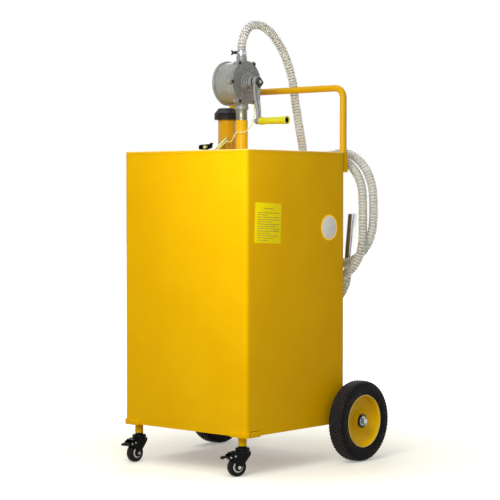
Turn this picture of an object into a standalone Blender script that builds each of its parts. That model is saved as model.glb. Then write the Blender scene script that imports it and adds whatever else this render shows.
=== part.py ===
"""A wheeled fuel caddy with a hand rotary pump, its hose, cap, handle, wheels and casters.

Metres, +Z up. The floor is at Z = 0, the two casters are at the front (-Y) and the big
wheels, the handle and the hung hose are at the back (+Y). The origin is on the floor,
under the middle of the whole caddy without its hose.
"""

import math

import bmesh
import bpy
from mathutils import Matrix, Vector

# Clearances shared by all pieces
fit_gap = 0.0003
overrun = 0.004
weld_distance = 0.00001

# Tank
tank_width = 0.446
tank_depth = 0.411
tank_height = 0.745
tank_corner_radius = 0.012
tank_clearance = 0.105
sheet = 0.002
lid_skirt = 0.008
lid_edge_radius = 0.004
pan_skirt = 0.014
corner_steps = 3
edge_steps = 2

# Filler neck and its screw cap
filler_x = -0.100
filler_y = 0.078
filler_radius = 0.025
filler_wall = 0.0025
filler_height = 0.112
neck_inside_length = 0.008
weld_ring_width = 0.003
weld_ring_height = 0.004
cap_radius = 0.0355
cap_skirt_height = 0.019
cap_top_radius = 0.0235
cap_height = 0.033
cap_edge = 0.0025
cap_roof = 0.011
gasket_thickness = 0.0025
gasket_width = 0.006

# Riser pipe that carries the pump, the nipple on it and the suction tube
riser_y = 0.028
riser_radius = 0.01685
riser_wall = 0.0028
riser_height = 0.088
nipple_radius = 0.0158
nipple_height = 0.028
nipple_spigot = 0.024
suction_radius = 0.0108
suction_wall = 0.0016
suction_floor_gap = 0.020
strainer_radius = 0.0150
strainer_wall = 0.0016
strainer_length = 0.045
strainer_grip = 0.016
strainer_slots = 6
strainer_slot_width = 0.004

# Rotary pump, turned about an axis along X
pump_axis_height = 0.191
drum_radius = 0.057
drum_back = -0.048
drum_front = 0.012
chamber_radius = 0.048
chamber_offset = 0.005
flange_radius = 0.0605
flange_thickness = 0.006
inlet_boss_radius = 0.019
outlet_neck_radius = 0.0140
outlet_neck_top = 0.074
port_radius = 0.0090
rear_cover_radius = 0.0615
rear_cover_thickness = 0.0065
rear_dome = 0.003
front_cover_radius = 0.0595
front_cover_thickness = 0.006
lug_circle = 0.0600
lug_radius = 0.0070
lug_count = 6
rib_width = 0.0028
rib_height = 0.0022
hub_radius = 0.027
hub_length = 0.016
hub_lip = 0.002
gland_radius = 0.0160
gland_length = 0.0135
shaft_radius = 0.0070
shaft_seat = 0.004
rotor_radius = 0.040
rotor_play = 0.0006
vane_thickness = 0.005
vane_inner = 0.018
vane_outer = 0.0415

# Crank arm and its grip
crank_gap = 0.0012
crank_throw = 0.107
crank_thickness = 0.013
crank_boss_radius = 0.0125
crank_end_radius = 0.0085
crank_rod_radius = 0.0062
crank_bow_shares = ((0.0, 0.0), (-0.16, 0.28), (0.10, 0.52), (0.62, 0.78), (0.55, 1.0))
crank_set = 0.010
crank_bolt_radius = 0.0075
crank_bolt_head = 0.0055
crank_bolt_shank = 0.003
crank_bolt_depth = 0.012
spindle_radius = 0.004
spindle_head_radius = 0.0068
spindle_head = 0.003
grip_length = 0.097
grip_near_radius = 0.0108
grip_waist_radius = 0.0092
grip_far_radius = 0.0112
grip_lip = 0.0015
grip_recess_radius = 0.0085
grip_recess = 0.018

# Hose, a clear tube with rings moulded round it
hose_radius = 0.0115
hose_valley_share = 0.93
hose_bore_radius = 0.0088
hose_ring_pitch = 0.046
hose_sides = 8
barb_flange_radius = 0.0132
barb_flange = 0.002
barb_length = 0.018
barb_plug = 0.014
clamp_wall = 0.0018
clamp_width = 0.012
clamp_lug = (0.010, 0.013, 0.010)
clamp_turn = math.radians(222)

# Route of the hose from the pump over the handle bar, in this frame
hose_lead_route = (
    (0.0, -0.0145, 1.1176),
    (0.0, -0.0145, 1.1260),
    (0.0, -0.0145, 1.1340),
    (0.0, -0.0145, 1.1410),
    (0.0005, -0.0110, 1.1600),
    (0.0020, 0.0120, 1.1945),
    (0.0030, 0.0530, 1.2045),
    (0.0030, 0.0965, 1.1915),
    (0.0015, 0.1335, 1.1665),
    (0.0015, 0.1625, 1.1345),
    (0.0025, 0.1830, 1.0990),
    (0.0045, 0.1965, 1.0620),
    (0.0070, 0.2020, 1.0290),
    (0.0115, 0.2020, 0.9970),
    (0.0190, 0.2015, 0.9640),
    (0.0290, 0.2010, 0.9170),
    (0.0390, 0.2005, 0.8720),
    (0.0450, 0.2005, 0.8250),
    (0.0450, 0.2005, 0.7700),
    (0.0450, 0.2005, 0.7400),
)

# Quarter turns of the coil: middle X, middle Z, half width and half height of each
coil_quarters = (
    (0.145, 0.613, 0.100, 0.113),
    (0.145, 0.613, 0.100, 0.113),
    (0.145, 0.720, 0.100, 0.111),
    (0.145, 0.720, 0.112, 0.111),
    (0.145, 0.663, 0.112, 0.125),
    (0.145, 0.663, 0.1165, 0.125),
    (0.145, 0.715, 0.1165, 0.135),
    (0.145, 0.715, 0.167, 0.135),
    (0.0645, 0.511, 0.0865, 0.091),
    (0.0645, 0.511, 0.0865, 0.091),
)
coil_steps = 6
coil_layer = 0.0265
coil_tail = 0.044
spout_tilt = math.radians(6)

# Spout on the end of the hose
spout_radius = 0.0125
spout_wall = 0.0015
spout_length = 0.125
spout_shoulder = 0.004
spout_spigot = 0.018

# Hook on the back of the tank that the coil hangs on
hook_x = 0.145
hook_radius = 0.004
hook_plate = (0.030, 0.004, 0.044)
hook_tip_rise = 0.030
hook_tip_reach = 0.020

# Earth lead: its wire, hank and clip on top of the tank
wire_radius = 0.0015
ground_route = (
    (0.0203, 0.0155, 0.9860),
    (0.0215, 0.0145, 0.9750),
    (0.0300, 0.0050, 0.9660),
    (0.0400, -0.0040, 0.9570),
    (0.0400, -0.0105, 0.9400),
    (0.0360, -0.0145, 0.9250),
    (0.0290, -0.0205, 0.9130),
    (0.0230, -0.0260, 0.9050),
    (0.0130, -0.0355, 0.9030),
    (0.0050, -0.0415, 0.9040),
    (-0.0005, -0.0450, 0.8930),
    (-0.0080, -0.0470, 0.8810),
    (-0.0200, -0.0440, 0.8780),
    (-0.0310, -0.0415, 0.8800),
    (-0.0375, -0.0440, 0.8752),
)
hank_centre = (-0.0600, -0.0300, 0.8706)
hank_tail_route = (
    (-0.0448, -0.0526, 0.8682),
    (-0.0490, -0.0572, 0.8610),
    (-0.0560, -0.0612, 0.8545),
    (-0.0640, -0.0625, 0.8522),
    (-0.0718, -0.0625, 0.8521),
)
hank_half_width = 0.0260
hank_half_height = 0.0255
hank_turns = 7
hank_steps = 14
hank_step_in = 0.0040
hank_spread = 0.0040
hank_lean = math.radians(46)
hank_turn = math.radians(-42)
clip_place = (-0.1120, -0.0660)
clip_turn = math.radians(-85)
clip_length = 0.040
clip_width = 0.011
clip_sheet = 0.0012
clip_jaw_height = 0.0060
clip_open = 0.0050
clip_pivot_share = 0.58

# Handle, a bent tube in two sockets on the back of the tank
handle_side_inset = 0.0175
handle_half_width = tank_width / 2 - handle_side_inset
handle_radius = 0.0095
handle_rise = 0.178
handle_bend = 0.028
handle_bend_steps = 5
socket_wall = 0.003
socket_play = 0.0005
socket_length = 0.052
socket_below_top = 0.003
leg_end_above = 0.004

# Corner brackets and posts that carry the casters
bracket_leg = 0.048
bracket_drop = 0.010
bracket_sheet = 0.003
bracket_out = 0.001
bracket_chamfer = 0.008
post_side_inset = 0.033
post_x = tank_width / 2 - post_side_inset
post_inset = 0.0225
post_radius = 0.011
post_wall = 0.002
post_bottom = 0.0785

# Casters
caster_wheel_radius = 0.025
caster_tread_width = 0.019
caster_hub_radius = 0.0142
caster_hub_width = 0.0205
caster_trail = 0.017
caster_axle_radius = 0.003
caster_axle_head_radius = 0.0052
caster_axle_head = 0.0035
caster_fork_gap = 0.024
caster_fork_sheet = 0.002
caster_fork_end_radius = 0.0095
caster_crown_radius = 0.019
caster_crown_height = 0.0105
caster_crown_bottom = 0.0640
caster_crown_edge = 0.003
caster_bridge_sheet = 0.003
caster_kingpin_radius = 0.004
caster_kingpin_head_radius = 0.0065
caster_kingpin_head = 0.002
caster_stem_collar = 0.0025
caster_stem_length = 0.022
caster_wing_reach = 0.043
caster_wing_drop = 0.016
caster_nose = 0.018
caster_yaws = {"left": 0.0, "right": math.radians(-21.7)}
brake_pivot_y = -0.0340
brake_pivot_z = 0.0530
brake_pin_radius = 0.0025
brake_width = 0.021
brake_sheet = 0.0025
brake_reach = 0.062
brake_tip_drop = 0.004
brake_pad_drop = 0.0095

# Axle, its brackets and the big wheels
axle_radius = 0.008
axle_middle_radius = 0.010
axle_stand_off = 0.0135
axle_end_out = 0.0625
axle_half_length = tank_width / 2 + axle_end_out
wheel_end_inset = 0.0240
wheel_middle_x = axle_half_length - wheel_end_inset
axle_shoulder_gap = 0.0027
axle_bracket_inset = 0.038
axle_bracket_x = tank_width / 2 - axle_bracket_inset
axle_bracket_sheet = 0.005
axle_bracket_radius = 0.0165
axle_bracket_rise = 0.050
wheel_radius = 0.111
tyre_width = 0.047
tyre_shoulder = 0.0045
tyre_bead_width = 0.034
rim_radius = 0.070
rim_lip_radius = 0.0735
rim_lip = 0.0025
rim_width = 0.040
rim_sheet = 0.0025
rim_web_inset = 0.004
rim_step_radius = 0.056
rim_dish = 0.010
rim_hub_radius = 0.0165
rim_hub_wall = 0.003
rim_hub_inner = 0.0235
rim_hub_outer = 0.0100
axle_shoulder = wheel_middle_x - rim_hub_inner - axle_shoulder_gap
rim_hole_radius = 0.0045
rim_hole_circle = 0.043
rim_hole_angle = math.radians(-25)
bearing_flange_radius = 0.0195
bearing_flange = 0.0030

# Faceting of turned pieces
wheel_steps = 28
pump_steps = 24
small_steps = 12
bolt_steps = 6
pipe_steps = 16

# Places that follow from the sizes above
front_reach = tank_depth / 2 - post_inset + brake_reach
back_reach = tank_depth / 2 + axle_stand_off + wheel_radius
tank_y = (front_reach - back_reach) / 2
tank_bottom = tank_clearance
tank_top = tank_clearance + tank_height
back_face = tank_y + tank_depth / 2
pump_y = tank_y + riser_y
pump_z = tank_top + pump_axis_height
riser_top = tank_top + riser_height
cover_front = drum_front + fit_gap + front_cover_thickness
hub_front = cover_front + hub_length
gland_front = hub_front + fit_gap + gland_length
crank_back = gland_front + crank_gap
crank_front = crank_back + crank_thickness
outlet_top = pump_z + outlet_neck_top
axle_y = back_face + axle_stand_off
handle_y = back_face + fit_gap + handle_radius + socket_play + socket_wall


def clear_scene():
    for old in list(bpy.data.objects):
        bpy.data.objects.remove(old, do_unlink=True)


def new_collection(name):
    collection = bpy.data.collections.new(name)
    bpy.context.scene.collection.children.link(collection)
    return collection


clear_scene()
parts = new_collection("fuel_caddy")
cutters = new_collection("fuel_caddy_cutters")


def material(name, colour, metallic=0.0, roughness=0.5):
    made = bpy.data.materials.new(name)
    made.use_nodes = True
    shader = made.node_tree.nodes["Principled BSDF"]
    shader.inputs["Base Color"].default_value = (*colour, 1.0)
    shader.inputs["Metallic"].default_value = metallic
    shader.inputs["Roughness"].default_value = roughness
    made.diffuse_color = (*colour, 1.0)
    return made


# Finishes: colour, metallic and roughness
paint = ((0.90, 0.50, 0.01), 0.0, 0.35)
cast_grey = ((0.25, 0.25, 0.26), 0.6, 0.45)
zinc = ((0.55, 0.55, 0.55), 0.9, 0.35)
chrome = ((0.75, 0.75, 0.75), 1.0, 0.12)
black_plastic = ((0.015, 0.015, 0.016), 0.0, 0.4)
black_steel = ((0.012, 0.012, 0.013), 0.3, 0.4)
rubber = ((0.020, 0.020, 0.021), 0.0, 0.75)
light_plastic = ((0.65, 0.65, 0.63), 0.0, 0.4)
lime = ((0.80, 0.88, 0.02), 0.0, 0.4)
clear_vinyl = ((0.72, 0.72, 0.58), 0.0, 0.2)


def place(shape, name, finish, location=(0, 0, 0), rotation=None, parent=None):
    """An object for a mesh, in the parts, or in the cutters when it has no finish."""
    thing = bpy.data.objects.new(name, shape)
    if finish:
        parts.objects.link(thing)
        shape.materials.append(material(name, *finish))
    else:
        cutters.objects.link(thing)
        thing.hide_render = True
        thing.display_type = "WIRE"
    thing.parent = parent
    thing.location = location
    if rotation:
        thing.rotation_euler = rotation.to_euler()
    return thing


def pivot(name, location, yaw=0.0):
    """An empty on a joint's axis, which its pieces are parented to."""
    empty = bpy.data.objects.new(name, None)
    parts.objects.link(empty)
    empty.location = location
    empty.rotation_euler = (0, 0, yaw)
    return empty


along_x = Matrix(((0, 0, 1), (0, 1, 0), (-1, 0, 0)))
flat_in_yz = Matrix(((0, 0, 1), (1, 0, 0), (0, 1, 0)))
flat_in_xz = Matrix(((1, 0, 0), (0, 0, -1), (0, 1, 0)))


def smooth(shape):
    shape.shade_smooth()
    shape.set_sharp_from_angle(angle=math.radians(35))


def turned(name, profile, finish, location=(0, 0, 0), rotation=None, steps=small_steps,
           ring=True, parent=None):
    """A profile of (radius, height) points, outer side from top to bottom, turned about Z."""
    shape = bpy.data.meshes.new(name)
    count = len(profile)
    edges = [(i, i + 1) for i in range(count - 1)]
    if ring:
        edges.append((count - 1, 0))
    shape.from_pydata([(radius, 0, height) for radius, height in profile], edges, [])
    thing = place(shape, name, finish, location, rotation, parent)
    screw = thing.modifiers.new("turn", "SCREW")
    screw.steps = steps
    screw.render_steps = steps
    screw.use_merge_vertices = True
    screw.merge_threshold = weld_distance
    return thing


def ring_profile(outer, inner, low, high):
    return [(outer, high), (outer, low), (inner, low), (inner, high)]


def rod_profile(radius, low, high):
    return [(0, high), (radius, high), (radius, low), (0, low)]


def rod(name, radius, low, high, finish, location=(0, 0, 0), rotation=None, steps=small_steps,
        parent=None):
    return turned(name, rod_profile(radius, low, high), finish, location, rotation, steps,
                  False, parent)


def box(name, low, high, finish, location=(0, 0, 0), rotation=None, parent=None):
    """A box between two corners."""
    shape = bpy.data.meshes.new(name)
    build = bmesh.new()
    bmesh.ops.create_cube(build, size=1)
    for vertex in build.verts:
        for i in range(3):
            middle = (low[i] + high[i]) / 2
            vertex.co[i] = middle + vertex.co[i] * abs(high[i] - low[i])
    build.to_mesh(shape)
    build.free()
    return place(shape, name, finish, location, rotation, parent)


def mesh_of_curve(curve, name):
    """The curve's shape as a mesh with its caps welded on. The curve is removed."""
    holder = bpy.data.objects.new(name, curve)
    cutters.objects.link(holder)
    bpy.context.view_layer.update()
    graph = bpy.context.evaluated_depsgraph_get()
    shape = bpy.data.meshes.new_from_object(holder.evaluated_get(graph))
    bpy.data.objects.remove(holder)
    build = bmesh.new()
    build.from_mesh(shape)
    bmesh.ops.remove_doubles(build, verts=build.verts, dist=weld_distance)
    bmesh.ops.recalc_face_normals(build, faces=build.faces)
    build.to_mesh(shape)
    build.free()
    shape.name = name
    return shape


def flat(name, outlines, thickness, finish, location=(0, 0, 0), rotation=None, parent=None):
    """A plate: closed 2D outlines, the inner ones holes, with its thickness about Z = 0."""
    curve = bpy.data.curves.new(name, "CURVE")
    curve.dimensions = "2D"
    curve.fill_mode = "BOTH"
    curve.extrude = thickness / 2
    for outline in outlines:
        spline = curve.splines.new("POLY")
        spline.points.add(len(outline) - 1)
        for point, (u, v) in zip(spline.points, outline):
            point.co = (u, v, 0, 1)
        spline.use_cyclic_u = True
    return place(mesh_of_curve(curve, name), name, finish, location, rotation, parent)


def tube_mesh(name, points, radius, sides, radii=None):
    """A round bar along points, whose radius each point may scale."""
    curve = bpy.data.curves.new(name, "CURVE")
    curve.dimensions = "3D"
    curve.bevel_depth = radius
    curve.bevel_resolution = sides // 2 - 2
    curve.use_fill_caps = True
    curve.twist_mode = "MINIMUM"
    spline = curve.splines.new("POLY")
    spline.points.add(len(points) - 1)
    for i, (point, co) in enumerate(zip(spline.points, points)):
        point.co = (*co, 1)
        point.radius = radii[i] if radii else 1.0
    return mesh_of_curve(curve, name)


def boolean(target, other, operation):
    change = target.modifiers.new(operation.lower(), "BOOLEAN")
    change.operation = operation
    change.object = other
    change.solver = "EXACT"


def join(target, *others):
    for other in others:
        boolean(target, other, "UNION")


def cut(target, *others):
    for other in others:
        boolean(target, other, "DIFFERENCE")


def rounded_rectangle(width, depth, radius, middle=(0, 0)):
    """Corners as arcs, going round anticlockwise."""
    points = []
    for corner, (across, along) in enumerate(((1, 1), (-1, 1), (-1, -1), (1, -1))):
        x = middle[0] + across * (width / 2 - radius)
        y = middle[1] + along * (depth / 2 - radius)
        for step in range(corner_steps + 1):
            angle = math.pi / 2 * (corner + step / corner_steps)
            points.append((x + radius * math.cos(angle), y + radius * math.sin(angle)))
    return points


def arc(middle, radius, start, end, steps):
    """Points of an arc between two angles in degrees."""
    points = []
    for step in range(steps + 1):
        angle = math.radians(start + (end - start) * step / steps)
        points.append((middle[0] + radius * math.cos(angle), middle[1] + radius * math.sin(angle)))
    return points


def loft(name, rings, finish, location=(0, 0, 0)):
    """A solid through level rings of (outline, height), closed by its first and last ring."""
    build = bmesh.new()
    rows = [[build.verts.new((x, y, height)) for x, y in outline] for outline, height in rings]
    for low, high in zip(rows, rows[1:]):
        for i in range(len(low)):
            j = (i + 1) % len(low)
            build.faces.new((low[i], low[j], high[j], high[i]))
    build.faces.new(reversed(rows[0]))
    build.faces.new(rows[-1])
    bmesh.ops.recalc_face_normals(build, faces=build.faces)
    shape = bpy.data.meshes.new(name)
    build.to_mesh(shape)
    build.free()
    return place(shape, name, finish, location)


def smooth_route(points, spacing):
    """Points evenly spaced along a smooth curve through the given ones."""
    given = [Vector(p) for p in points]
    ends = [given[0] * 2 - given[1]] + given + [given[-1] * 2 - given[-2]]
    fine = []
    per_span = 24
    for a, b, c, d in zip(ends, ends[1:], ends[2:], ends[3:]):
        knots = [0.0]
        for p, q in ((a, b), (b, c), (c, d)):
            knots.append(knots[-1] + math.sqrt(max((q - p).length, weld_distance)))
        for step in range(per_span):
            t = knots[1] + (knots[2] - knots[1]) * step / per_span
            one = [
                p.lerp(q, (t - knots[i]) / (knots[i + 1] - knots[i]))
                for i, (p, q) in enumerate(((a, b), (b, c), (c, d)))
            ]
            two = [
                one[i].lerp(one[i + 1], (t - knots[i]) / (knots[i + 2] - knots[i]))
                for i in range(2)
            ]
            fine.append(two[0].lerp(two[1], (t - knots[1]) / (knots[2] - knots[1])))
    fine.append(given[-1])
    lengths = [0.0]
    for p, q in zip(fine, fine[1:]):
        lengths.append(lengths[-1] + (q - p).length)
    count = max(2, round(lengths[-1] / spacing))
    route = []
    at = 0
    for i in range(count + 1):
        want = lengths[-1] * i / count
        while at < len(fine) - 2 and lengths[at + 1] < want:
            at += 1
        span = lengths[at + 1] - lengths[at]
        route.append(fine[at].lerp(fine[at + 1], (want - lengths[at]) / span if span else 0.0))
    return route, lengths[-1]


def least_gap(name, points, radius, skip):
    """Prints the least gap that a wound tube has to itself, between points over skip apart."""
    least = min(
        (points[i] - points[j]).length
        for i in range(len(points))
        for j in range(i + skip, len(points))
    )
    print(f"{name}: least gap to itself {(least - 2 * radius) * 1000:.1f} mm")


def make_tank():
    outer = rounded_rectangle(tank_width, tank_depth, tank_corner_radius)
    inner = rounded_rectangle(
        tank_width - 2 * sheet, tank_depth - 2 * sheet, tank_corner_radius - sheet
    )
    wall_top = tank_top - lid_skirt - fit_gap
    middle = (0, tank_y, (tank_bottom + wall_top) / 2)
    flat("tank_shell", [outer, inner], wall_top - tank_bottom, paint, middle)

    rings = [(outer, tank_top - lid_skirt)]
    for step in range(edge_steps + 1):
        angle = math.pi / 2 * step / edge_steps
        inset = lid_edge_radius * (1 - math.cos(angle))
        height = tank_top - lid_edge_radius * (1 - math.sin(angle))
        outline = rounded_rectangle(
            tank_width - 2 * inset, tank_depth - 2 * inset, tank_corner_radius - inset
        )
        rings.append((outline, height))
    lid = loft("tank_top", rings, paint, (0, tank_y, 0))
    pocket_height = lid_skirt - sheet + overrun
    pocket_width = tank_width - 2 * lid_edge_radius
    pocket_depth = tank_depth - 2 * lid_edge_radius
    pocket_outline = rounded_rectangle(
        pocket_width, pocket_depth, tank_corner_radius - lid_edge_radius
    )
    pocket_middle = (0, tank_y, tank_top - sheet - pocket_height / 2)
    pocket = flat("lid_pocket", [pocket_outline], pocket_height, None, pocket_middle)
    cut(lid, pocket)
    for name, x, y, radius in (
        ("lid_filler_hole", filler_x, filler_y, filler_radius),
        ("lid_riser_hole", 0, riser_y, riser_radius),
    ):
        hole = rod(name, radius + fit_gap, -lid_skirt, lid_skirt, None,
                   (x, tank_y + y, tank_top), steps=pipe_steps)
        cut(lid, hole)

    pan_width = tank_width - 2 * sheet - 2 * fit_gap
    pan_depth = tank_depth - 2 * sheet - 2 * fit_gap
    pan_corner = tank_corner_radius - sheet - fit_gap
    pan_outline = rounded_rectangle(pan_width, pan_depth, pan_corner)
    pan_middle = (0, tank_y, tank_bottom + pan_skirt / 2)
    pan = flat("tank_base", [pan_outline], pan_skirt, paint, pan_middle)
    hollow_outline = rounded_rectangle(
        pan_width - 2 * sheet, pan_depth - 2 * sheet, pan_corner - sheet
    )
    hollow_depth = pan_skirt - sheet + overrun
    hollow_middle = (0, tank_y, tank_bottom + pan_skirt - sheet - hollow_depth / 2)
    hollow = flat("base_hollow", [hollow_outline], hollow_depth, None, hollow_middle)
    cut(pan, hollow)


def welded_pipe(name, radius, wall, x, y, height):
    """A pipe through the lid, with a ring of weld round its foot."""
    inner = radius - wall
    ring = radius + weld_ring_width
    profile = [
        (radius, height),
        (radius, weld_ring_height),
        (ring, fit_gap + weld_ring_height / 2),
        (ring, fit_gap),
        (radius, fit_gap),
        (radius, -neck_inside_length),
        (inner, -neck_inside_length),
        (inner, height),
    ]
    return turned(name, profile, paint, (x, tank_y + y, tank_top), steps=pipe_steps)


def make_filler():
    welded_pipe("filler_neck", filler_radius, filler_wall, filler_x, filler_y, filler_height)
    axis = (filler_x, tank_y + filler_y, tank_top)
    gasket_bottom = filler_height + fit_gap
    gasket_top = gasket_bottom + gasket_thickness
    turned(
        "cap_gasket",
        ring_profile(filler_radius, filler_radius - gasket_width, gasket_bottom, gasket_top),
        rubber, axis, steps=pipe_steps,
    )
    roof = gasket_top + fit_gap
    top = roof + cap_roof
    bottom = top - cap_height
    shoulder = bottom + cap_skirt_height
    bore = filler_radius + 2 * fit_gap
    profile = [
        (0, top),
        (cap_top_radius, top),
        (cap_radius - cap_edge, shoulder + cap_edge),
        (cap_radius, shoulder),
        (cap_radius, bottom + cap_edge),
        (cap_radius - cap_edge, bottom),
        (bore, bottom),
        (bore, roof),
        (0, roof),
    ]
    turned("filler_cap", profile, black_plastic, axis, steps=pipe_steps, ring=False)


def make_riser():
    welded_pipe("pump_riser", riser_radius, riser_wall, 0, riser_y, riser_height)
    axis = (0, pump_y, riser_top)
    seat = fit_gap
    spigot = riser_radius - riser_wall - fit_gap
    bore = suction_radius + fit_gap
    profile = [
        (nipple_radius, seat + nipple_height),
        (nipple_radius, seat),
        (spigot, seat),
        (spigot, -nipple_spigot),
        (bore, -nipple_spigot),
        (bore, seat + nipple_height),
    ]
    turned("pump_nipple", profile, zinc, axis, steps=pipe_steps)
    tube_bottom = tank_bottom + pan_skirt + suction_floor_gap
    tube_top = riser_top + nipple_height - fit_gap
    turned(
        "suction_tube",
        ring_profile(suction_radius, suction_radius - suction_wall, tube_bottom, tube_top),
        light_plastic, (0, pump_y, 0), steps=small_steps,
    )
    strainer_bottom = tube_bottom - strainer_length + strainer_grip + suction_floor_gap / 2
    collar_bottom = tube_bottom - fit_gap
    grip_bore = suction_radius + fit_gap
    body_bore = strainer_radius - strainer_wall
    strainer_top = collar_bottom + strainer_grip
    strainer_profile = [
        (strainer_radius, strainer_top),
        (strainer_radius, strainer_bottom),
        (body_bore, strainer_bottom),
        (body_bore, collar_bottom - strainer_wall),
        (suction_radius - suction_wall, collar_bottom - strainer_wall),
        (suction_radius - suction_wall, collar_bottom),
        (grip_bore, collar_bottom),
        (grip_bore, strainer_top),
    ]
    strainer = turned("foot_strainer", strainer_profile, black_plastic, (0, pump_y, 0))
    slot_top = collar_bottom - 2 * strainer_wall
    for slot in range(strainer_slots // 2):
        turn = Matrix.Rotation(math.pi * (slot + 0.5) / (strainer_slots // 2), 3, "Z")
        half = strainer_slot_width / 2
        reach = strainer_radius + overrun
        low = (-reach, -half, strainer_bottom - overrun)
        high = (reach, half, slot_top)
        cut(strainer, box(f"strainer_slot_{slot + 1}", low, high, None, (0, pump_y, 0), turn))


def lobed_outline(radius):
    """A round plate with lugs for the bolts: the rim, and each lug's arc past it."""
    points = []
    half = math.acos((lug_circle**2 + radius**2 - lug_radius**2) / (2 * lug_circle * radius))
    lug_half = math.pi - math.acos(
        (lug_circle**2 + lug_radius**2 - radius**2) / (2 * lug_circle * lug_radius)
    )
    lug_steps = 4
    rim_steps = 4
    for lug in range(lug_count):
        middle = 2 * math.pi * lug / lug_count
        x = lug_circle * math.cos(middle)
        y = lug_circle * math.sin(middle)
        for step in range(lug_steps + 1):
            angle = middle - lug_half + 2 * lug_half * step / lug_steps
            points.append((x + lug_radius * math.cos(angle), y + lug_radius * math.sin(angle)))
        gap = 2 * math.pi / lug_count - 2 * half
        for step in range(1, rim_steps):
            angle = middle + half + gap * step / rim_steps
            points.append((radius * math.cos(angle), radius * math.sin(angle)))
    return points


def make_pump_housing():
    axis = (0, pump_y, pump_z)
    profile = [
        (flange_radius, drum_front),
        (flange_radius, drum_front - flange_thickness),
        (drum_radius, drum_front - flange_thickness - fit_gap),
        (drum_radius, drum_back),
    ]
    profile = [(0, drum_front)] + profile + [(0, drum_back)]
    body = turned("pump_body", profile, cast_grey, axis, along_x, pump_steps, False)
    boss_low = riser_top + fit_gap + nipple_height + fit_gap
    boss = rod("inlet_boss", inlet_boss_radius, boss_low, pump_z - chamber_radius, None,
               (0, pump_y, 0), steps=pipe_steps)
    neck = rod("outlet_neck", outlet_neck_radius, pump_z + chamber_radius, outlet_top, None,
               (0, pump_y, 0), steps=pipe_steps)
    join(body, boss, neck)
    reach = lug_circle + lug_radius + fit_gap
    recess_high = (drum_front + inlet_boss_radius, reach, reach)
    cut(body, box("cover_recess", (drum_front, -reach, -reach), recess_high, None, axis))
    chamber_axis = (0, pump_y, pump_z + chamber_offset)
    chamber = rod("pump_chamber", chamber_radius, drum_back - overrun, drum_front + overrun,
                  None, chamber_axis, along_x, pump_steps)
    port = rod("pump_ports", port_radius, boss_low - overrun, outlet_top + overrun, None,
               (0, pump_y, 0))
    cut(body, chamber, port)

    back = drum_back - fit_gap
    rim = back - rear_cover_thickness
    cover_profile = [
        (0, back),
        (rear_cover_radius, back),
        (rear_cover_radius, rim + rear_dome / 2),
        (rear_cover_radius - rear_dome / 2, rim),
        (rear_cover_radius - 2 * rear_dome, rim),
        (rear_cover_radius - 3 * rear_dome, rim - rear_dome),
        (0, rim - rear_dome),
    ]
    cover = turned("pump_rear_cover", cover_profile, cast_grey, axis, along_x, pump_steps, False)
    seat = rod("rear_shaft_seat", shaft_radius + fit_gap, back - shaft_seat - fit_gap,
               back + overrun, None, axis, along_x)
    cut(cover, seat)

    plate_middle = (drum_front + fit_gap + front_cover_thickness / 2, pump_y, pump_z)
    front = flat("pump_front_cover", [lobed_outline(front_cover_radius)],
                 front_cover_thickness, cast_grey, plate_middle, flat_in_yz)
    hub_profile = [
        (0, hub_front),
        (hub_radius - hub_lip, hub_front),
        (hub_radius, hub_front - hub_lip),
        (hub_radius, cover_front - front_cover_thickness / 2),
        (0, cover_front - front_cover_thickness / 2),
    ]
    hub = turned("front_hub", hub_profile, None, axis, along_x, pipe_steps, False)
    join(front, hub)
    for rib in range(lug_count):
        turn = Matrix.Rotation(2 * math.pi * rib / lug_count, 3, "X")
        low = (cover_front - rib_height, hub_radius - hub_lip, -rib_width / 2)
        high = (cover_front + rib_height, lug_circle - lug_radius, rib_width / 2)
        join(front, box(f"front_rib_{rib + 1}", low, high, None, axis, turn))
    bore = rod("front_shaft_bore", shaft_radius + fit_gap, drum_front - overrun,
               hub_front + overrun, None, axis, along_x)
    cut(front, bore)
    turned("gland_nut",
           ring_profile(gland_radius, shaft_radius + fit_gap, hub_front + fit_gap, gland_front),
           cast_grey, axis, along_x, pipe_steps)


def make_pump_rotor(crank):
    shaft_back = drum_back - fit_gap - shaft_seat
    rod("pump_shaft", shaft_radius, shaft_back, crank_front, zinc, (0, 0, 0), along_x,
        parent=crank)
    low = drum_back + rotor_play
    high = drum_front - rotor_play
    rotor = turned("pump_rotor", ring_profile(rotor_radius, shaft_radius + fit_gap, low, high),
                   zinc, (0, 0, 0), along_x, pipe_steps, parent=crank)
    half = vane_thickness / 2
    for name, side in (("1", 1), ("2", -1)):
        slot_low = (low - overrun, -half - fit_gap, side * (vane_inner - fit_gap))
        slot_high = (high + overrun, half + fit_gap, side * (rotor_radius + overrun))
        cut(rotor, box(f"vane_slot_{name}", slot_low, slot_high, None, parent=crank))
        vane_low = (low, -half, side * vane_inner)
        vane_high = (high, half, side * vane_outer)
        box(f"pump_vane_{name}", vane_low, vane_high, black_plastic, parent=crank)


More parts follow.
